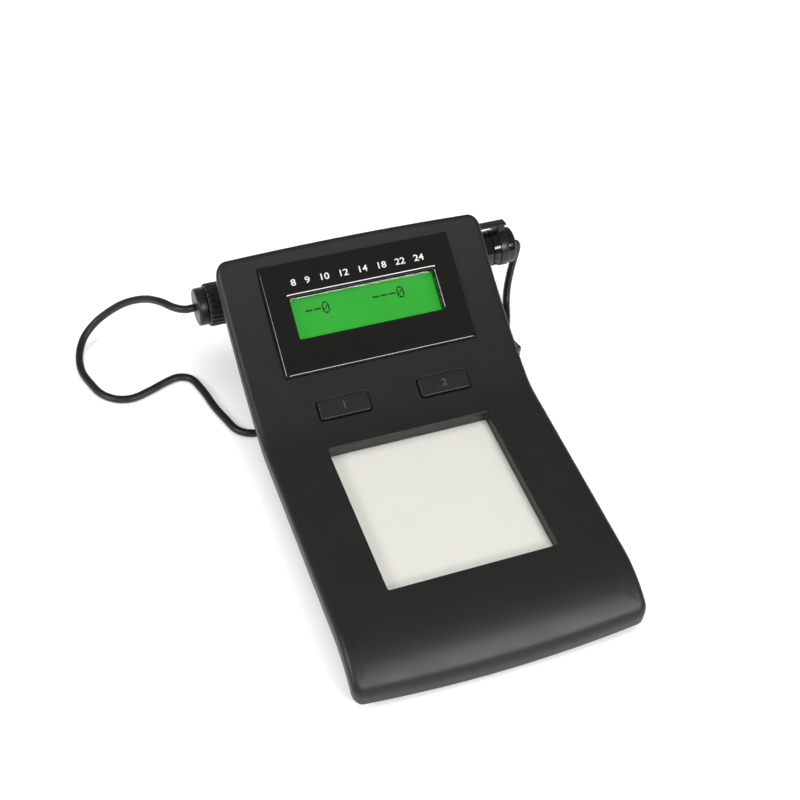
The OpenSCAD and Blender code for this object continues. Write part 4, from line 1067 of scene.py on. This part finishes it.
lip_flat = base_flat(2.6, 2.7, 2.6, (3.0, 1.2))
lip_in = base_flat(3.8, 3.8, 3.8, (1.2, 1.2))
lip_top = np.maximum(top_z(lip_flat[:, 1]) - RIM + 2.6, step_z + 0.2)
lip_top_in = np.maximum(top_z(lip_in[:, 1]) - RIM + 2.6, step_z + 0.2)
low = leaning_ring(0, BASE_Z)
middle = np.tile([[0, 20.0, BASE_Z]], (len(low), 1))
tray_rings = [middle, middle + (leaning_ring(0.9, BASE_Z) - middle) * 0.6, leaning_ring(0.9, BASE_Z),
              leaning_ring(0.3, BASE_Z + 0.25), low + [0, 0, 0.9]]
tray_rings += [tray_ring(leaning_ring(0, 0, t)[:, :2], BASE_Z + 0.9 + (step_z - BASE_Z - 0.9) * t)
               for t in (0.33, 0.66, 1.0)]
tray_rings += [tray_ring(lip_flat, step_z), tray_ring(lip_flat, lip_top), tray_ring(lip_in, lip_top_in),
               leaning_ring(2.2, FLOOR_Z, 0.0, 3.4), np.tile([[0, 20.0, FLOOR_Z]], (len(low), 1))]
tray = build("base", [(np.stack(tray_rings), True, None)], crease=30)
report(tray)


# %% Join and cut the base
def soft_box(name, low, high, r=0.05, axis=2):
    """A block with rounded upright edges, as a stack of soft rectangles along one axis."""
    low, high = np.array(low, float), np.array(high, float)
    half, centre = (high - low) / 2, (high + low) / 2
    flat = soft_rectangle(np.linspace(0, 1, 9), np.linspace(0, 1, 9), 3, half[0], half[1],
                          min(r, half[0], half[1]))
    rows = [np.column_stack([flat * s, np.full(len(flat), z)]) for s, z in
            ((0, -half[2]), (1, -half[2]), (1, half[2]), (0, half[2]))]
    return build(name, [(np.stack(rows) + centre, True, None)], crease=30)


def rod(name, start, axis, length, radius, around=64):
    """A cylinder from start along X or Z."""
    a = np.linspace(0, 2 * np.pi, around, endpoint=False)
    ring = np.stack([np.zeros(around), np.cos(a), np.sin(a)], axis=-1) if axis == "x" else (
        np.stack([np.cos(a), np.sin(a), np.zeros(around)], axis=-1))
    step = np.array([length, 0, 0] if axis == "x" else [0, 0, length], float)
    rows = [start + ring * r + step * t for r, t in ((0, 0), (radius, 0), (radius, 1), (0, 1))]
    return build(name, [(np.stack(rows), True, None)], crease=30)


def combine(target, tool, how):
    """One Boolean, kept: the evaluated mesh replaces the target's, and the tool is removed."""
    step = target.modifiers.new("step", "BOOLEAN")
    step.object, step.operation, step.solver = tool, how, "EXACT"
    dg = bpy.context.evaluated_depsgraph_get()
    result = bpy.data.meshes.new_from_object(target.evaluated_get(dg))
    target.modifiers.clear()
    old, target.data = target.data, result
    bpy.data.meshes.remove(old)
    mesh = tool.data
    bpy.data.objects.remove(tool)
    bpy.data.meshes.remove(mesh)


PAD_X, SWITCH_Y, SWITCH_Z = 57.6, 72.0, -2.0
joined = [rod("tube", [-49.5, AXIS_Y, AXIS_Z], "x", 106.5, 9.5, 96),
          soft_box("pad", [PAD_X - 10, SWITCH_Y - 11.5, BASE_Z], [PAD_X, SWITCH_Y + 11.5, 5.4], 0.6),
          soft_box("bay", [-26.8, 65.85, FLOOR_Z - 0.1], [26.8, 102.15, 3.5], 0.5)]
for sx in (-1, 1):
    for sy in (-1, 1):
        joined += [rod("post", [sx * 31.5, sy * 33.5, FLOOR_Z - 0.1], "z", 6.8, 2.5, 32),
                   rod("post", [sx * 21.0, sy * 21.0, FLOOR_Z - 0.1], "z", 1.7, 2.5, 32)]
SCREWS = [(sx * x, y) for x, y in ((43.5, -36.0), (33.0, 65.0)) for sx in (-1, 1)]
joined += [rod("boss", [x, y, FLOOR_Z - 0.1], "z", 3.2, 3.5, 40) for x, y in SCREWS]
for piece in joined:
    combine(tray, piece, "UNION")
cuts = [rod("bore", [-50.5, AXIS_Y, AXIS_Z], "x", 108.5, 8.05, 96),
        rod("notch", [-62.1, AXIS_Y, AXIS_Z], "x", 12.6, 9.7, 96),
        soft_box("pocket", [PAD_X - 17.8, SWITCH_Y - 9.9, FLOOR_Z], [PAD_X - 1.8, SWITCH_Y + 9.9, 4.6], 0.3),
        soft_box("switch_hole", [PAD_X - 8, SWITCH_Y - 9.6, SWITCH_Z - 6.4],
                 [PAD_X + 2, SWITCH_Y + 9.6, SWITCH_Z + 6.4], 0.1),
        soft_box("cells_room", [-25.2, 67.45, BASE_Z - 1], [25.2, 100.55, 2.3], 0.5),
        soft_box("door_way", [-28.0, 63.95, BASE_Z - 1], [28.0, 123.9, BASE_Z + 1.8], 0.1),
        soft_box("door_grooves", [-29.2, 63.95, BASE_Z + 0.6], [29.2, 123.9, BASE_Z + 1.8], 0.1)]
cuts += [rod("hole", [x, y, BASE_Z - 1], "z", 9, 1.65, 32) for x, y in SCREWS]
cuts += [rod("sink", [x, y, BASE_Z - 1], "z", 2.2, 3.1, 48) for x, y in SCREWS]
for piece in cuts:
    combine(tray, piece, "DIFFERENCE")
tidy_mesh(tray.data, 30, 5e-7)
tray.data.materials.clear()
tray.data.materials.append(base_black.material)
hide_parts("base_shell")
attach(tray, "housing")
report(tray)

# %% [markdown]
# The power switch is a rocker in a rounded frame on the right wall. Its two faces are
# dished, and it carries the usual line and circle.

# %% Switch frame and rocker
def side_ring(a, b, r, x, n=33, k=6):
    """A soft rectangle in the plane x, with half sizes a along Y and b along Z."""
    shares = np.linspace(0, 1, n)
    flat = soft_rectangle(shares, shares, k, a, b, r)
    return np.column_stack([np.full(len(flat), x), SWITCH_Y + flat[:, 0], SWITCH_Z + flat[:, 1]])


FACE_X = PAD_X + 2.0
frame_rings = [side_ring(10.5, 7.5, 1.0, PAD_X), side_ring(10.5, 7.5, 1.0, FACE_X - 0.9)]
frame_rings += [side_ring(10.5 - 0.9 * (1 - math.cos(a)), 7.5 - 0.9 * (1 - math.cos(a)),
                          1.0 + 0.3 * (1 - math.cos(a)),
                          FACE_X - 0.9 + 0.9 * math.sin(a)) for a in quarter[1:]]
frame_rings += [side_ring(9.1, 5.6, 1.0, FACE_X), side_ring(8.8, 5.3, 0.8, FACE_X - 0.3),
                side_ring(8.8, 5.3, 0.8, PAD_X - 9.9), side_ring(0.02, 0.02, 0.01, PAD_X - 9.9)]
back_rings = [side_ring(0.02, 0.02, 0.01, PAD_X - 15), side_ring(9.3, 6.1, 0.4, PAD_X - 15),
              side_ring(9.5, 6.3, 0.5, PAD_X - 14.8), side_ring(9.5, 6.3, 0.5, PAD_X),
              side_ring(10.5, 7.5, 1.0, PAD_X)]
bezel = build("switch_bezel", [(np.stack(back_rings + frame_rings), True, None)], crease=40)
bezel.data.materials.append(switch_black.material)
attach(bezel, "housing")
report(bezel)

ROCKER_TILT, DISH, CROWN, END_R, ROCKER_H = math.radians(8), math.radians(7), 2.6, 8.6, 10.2
PIVOT = np.array([PAD_X - 0.5, SWITCH_Y, SWITCH_Z])


def rocker_grid():
    """Outer line in plan: two planes that meet at the middle at 7 degrees each, ended by an arc of
    8.6; swept over Z."""
    y = np.sin(np.linspace(-1, 1, 41) * math.pi / 2) * END_R * 0.985
    front = CROWN / math.cos(DISH) + np.abs(y) * math.tan(DISH)
    arc_x = np.sqrt(np.maximum(END_R**2 - y**2, 0))
    face = np.minimum(front, arc_x)
    under = -np.minimum(0.6 + 2.2 * np.sqrt(np.clip(1 - (y / 3.2)**2, 0, 1)), arc_x)
    under = np.where(np.abs(y) > 2.9, np.maximum(-0.4, -arc_x), under)
    z = np.array([-1, -0.985, -0.93, -0.5, 0, 0.5, 0.93, 0.985, 1]) * ROCKER_H / 2
    soft = np.array([0.35, 0.12, 0, 0, 0, 0, 0, 0.12, 0.35])
    top = np.stack([face[None, :] - soft[:, None], np.broadcast_to(y, (9, 41)),
                    np.broadcast_to(z[:, None], (9, 41))], -1)
    low = np.stack([np.broadcast_to(under, (9, 41)), np.broadcast_to(y, (9, 41)),
                    np.broadcast_to(z[:, None], (9, 41))], -1)
    loop = np.concatenate([top, low[:, ::-1]], axis=1)
    ends = [np.tile(np.array([[[0.5, 0, s * ROCKER_H / 2]]]), (1, 82, 1)) for s in (-1, 1)]
    return np.concatenate([ends[0], loop, ends[1]])


def rocked(points):
    """Turn by the rest tilt about Z, then move to the pivot."""
    c, s = math.cos(ROCKER_TILT), math.sin(ROCKER_TILT)
    turn = np.array([[c, -s, 0], [s, c, 0], [0, 0, 1]])
    return points @ turn.T + PIVOT


rocker = build("rocker", [(rocked(rocker_grid()), True, None)], crease=35)
rocker.data.materials.append(switch_black.material)
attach(rocker, "rocker")
report(rocker)


def rocker_mark(name, words, y, height):
    slope_x = CROWN / math.cos(DISH)

    def place(u, v, n):
        along = y + u
        x = slope_x + np.abs(along) * math.tan(DISH) + n
        return rocked(np.column_stack([x, along, v]))
    return lettering(name, words, height, place, ink_white, "rocker")


rocker_mark("mark_on", "I", -4.6, 3.0)
rocker_mark("mark_off", "O", 4.6, 3.0)

# %% [markdown]
# Small parts underneath: feet with a soft edge and a shallow hollow, and pan-head screws
# with a cross recess, all of one kind in one mesh.

# %% Feet and screws
def disc_rows(centre, profile, around=48, shape=None):
    """Point (i, a) = centre + (r_i * cos a, r_i * sin a, z_i); shape may change r over a."""
    profile = np.asarray(profile, float)
    a = np.linspace(0, 2 * np.pi, around, endpoint=False)
    r = profile[:, 0][:, None] * np.ones(around)
    z = profile[:, 1][:, None] * np.ones(around)
    if shape is not None:
        z = z + shape(r, a[None, :])
    grid = np.stack([r * np.cos(a), r * np.sin(a), z], axis=-1)
    return grid + np.asarray(centre, float)


FEET = [(sx * x, y) for x, y in ((40.0, -54.0), (36.0, 90.0)) for sx in (-1, 1)]
foot = [(0, -4.3), (3.2, -4.3), (3.9, -4.42), (4.3, -4.5), (4.9, -4.5), (5.2, -4.42), (5.42, -4.2),
        (5.5, -3.9),
        (5.5, -0.1), (5.4, 0.0), (0, 0)]
feet = build("feet", [(disc_rows([x, y, BASE_Z], foot), True, None) for x, y in FEET])
feet.data.materials.append(foot_rubber.material)
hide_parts("rubber_feet")
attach(feet, "housing")
report(feet)


def cross_recess(r, a):
    """Depth 0.7 where |cross axis distance| is under 0.35 and r under 1.6: two crossing slots."""
    arm = np.minimum(np.abs(r * np.sin(a)), np.abs(r * np.cos(a)))
    return 0.7 * np.clip((0.45 - arm) / 0.12, 0, 1) * np.clip((1.7 - r) / 0.3, 0, 1)


HEAD_Z = BASE_Z + 0.1
head = [(0, 0), (0.3, 0), (0.6, 0), (0.9, 0), (1.2, 0.01), (1.5, 0.02), (1.8, 0.04), (2.2, 0.09), (2.5, 0.18),
        (2.7, 0.35),
        (2.8, 0.6), (2.8, 1.1), (1.45, 1.1), (1.45, 10.0), (0, 10.0)]
screws = build("case_screw_heads",
               [(disc_rows([x, y, HEAD_Z], head, 64, cross_recess), True, None) for x, y in SCREWS],
               crease=40)
screws.data.materials.append(screw_steel.material)
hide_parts("case_screws")
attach(screws, "housing")
report(screws)

# %% [markdown]
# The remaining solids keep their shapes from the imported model, and each one gets a finish.

# %% Finishes on the carried-over solids
KEPT = {"display_window": window_clear, "lcd_backlight": diffuser_white,
        "lcd_board": slope_green, "key_switches": chip_epoxy, "key_board": key_green,
        "test_plate": plate_steel,
        "plate_contact": contact_gold, "main_board": main_green, "main_chip": chip_epoxy,
        "board_capacitors": can_metal, "probe_socket": socket_black, "socket_contacts": contact_gold,
        "plug_insert": spring_steel, "pen_electrode": electrode_metal, "battery_cells": cell_skin,
        "battery_contacts": spring_steel, "battery_door": base_black, "board_screws": screw_steel}
for name, finish in KEPT.items():
    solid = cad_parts[name]
    for place in solid.material_slots:
        place.material = finish.material
    if not solid.material_slots:
        solid.data.materials.append(finish.material)
for name in ("switch_frame", "switch_rocker"):
    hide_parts(name)
cord.data.materials.append(cord_vinyl.material)
print("finishes on", len(KEPT), "kept solids")

# %% [markdown]
# The table is a plain pale sheet that takes the shadow. Light is soft and plain: a small
# box from the front right, one from the left, a wide one above, and a dim even room.

# %% Floor, lamps and room
floor_finish = Finish("floor_white", **{"Roughness": 0.9, "Specular IOR Level": 0.0})
paper = floor_finish.noise(1.2, 2.0)
floor_finish.set(Base_Color=floor_finish.between(paper, (0.80, 0.80, 0.80), (0.82, 0.82, 0.82)),
                 Normal=floor_finish.bump(paper, 0.004))
rays = floor_finish.node("ShaderNodeLightPath", {}, output="Is Camera Ray")
seen = rays + Wire(floor_finish, rays.socket.node.outputs["Is Glossy Ray"]) \
    + Wire(floor_finish, rays.socket.node.outputs["Is Transmission Ray"])
floor_finish.set(Emission_Color=floor_finish.between(seen.span(0, 1), (0.0, 0.0, 0.0), (0.32, 0.32, 0.32)),
                 Emission_Strength=1.0)
side = np.array([-1.5, 1.5])
fx, fy = np.meshgrid(side, side)
table = build("table", [(np.stack([fx, fy, np.full_like(fx, -0.015)], -1) / MM + [0, 0, -0.05], False, None)])
table.data.materials.append(floor_finish.material)


def softbox(name, place, aim, size, power, glossy=True):
    lamp = bpy.data.lights.new(name, "AREA")
    lamp.shape, lamp.size, lamp.size_y, lamp.energy = "RECTANGLE", size[0], size[1], power
    made = bpy.data.objects.new(name, lamp)
    bpy.context.scene.collection.objects.link(made)
    z = np.array(place, float) - np.array(aim, float)
    z /= np.linalg.norm(z)
    x = np.cross([0, 0, 1.0], z)
    x /= np.linalg.norm(x)
    turn = np.eye(4)
    turn[:3, 0], turn[:3, 1], turn[:3, 2], turn[:3, 3] = x, np.cross(z, x), z, place
    made.matrix_world = Matrix(turn.tolist())
    made.visible_glossy = made.visible_transmission = glossy
    return made


softbox("front_box", (0.364, -0.95, 0.79), (0, 0.02, 0), (0.45, 0.32), 9.0)
softbox("left_box", (-0.975, -0.26, 0.82), (0, 0.02, 0), (0.5, 0.4), 7.5)
softbox("top_box", (0.1, 0.3, 1.4), (0, 0.02, 0), (1.4, 1.4), 16.0, glossy=False)
room = bpy.data.worlds.new("room")
room.use_nodes = True
air = room.node_tree
air.nodes.clear()
sky = air.nodes.new("ShaderNodeBackground")
ray = air.nodes.new("ShaderNodeLightPath")
mix = air.nodes.new("ShaderNodeMapRange")
mix.inputs["To Min"].default_value, mix.inputs["To Max"].default_value = 0.20, 1.0
air.links.new(ray.outputs["Is Camera Ray"], mix.inputs["Value"])
air.links.new(mix.outputs["Result"], sky.inputs["Strength"])
sky.inputs["Color"].default_value = (1, 1, 1, 1)
end = air.nodes.new("ShaderNodeOutputWorld")
air.links.new(sky.outputs["Background"], end.inputs["Surface"])
bpy.context.scene.world = room
bpy.context.scene.view_settings.view_transform = "Standard"

# %% Update the scene
bpy.context.view_layer.update()
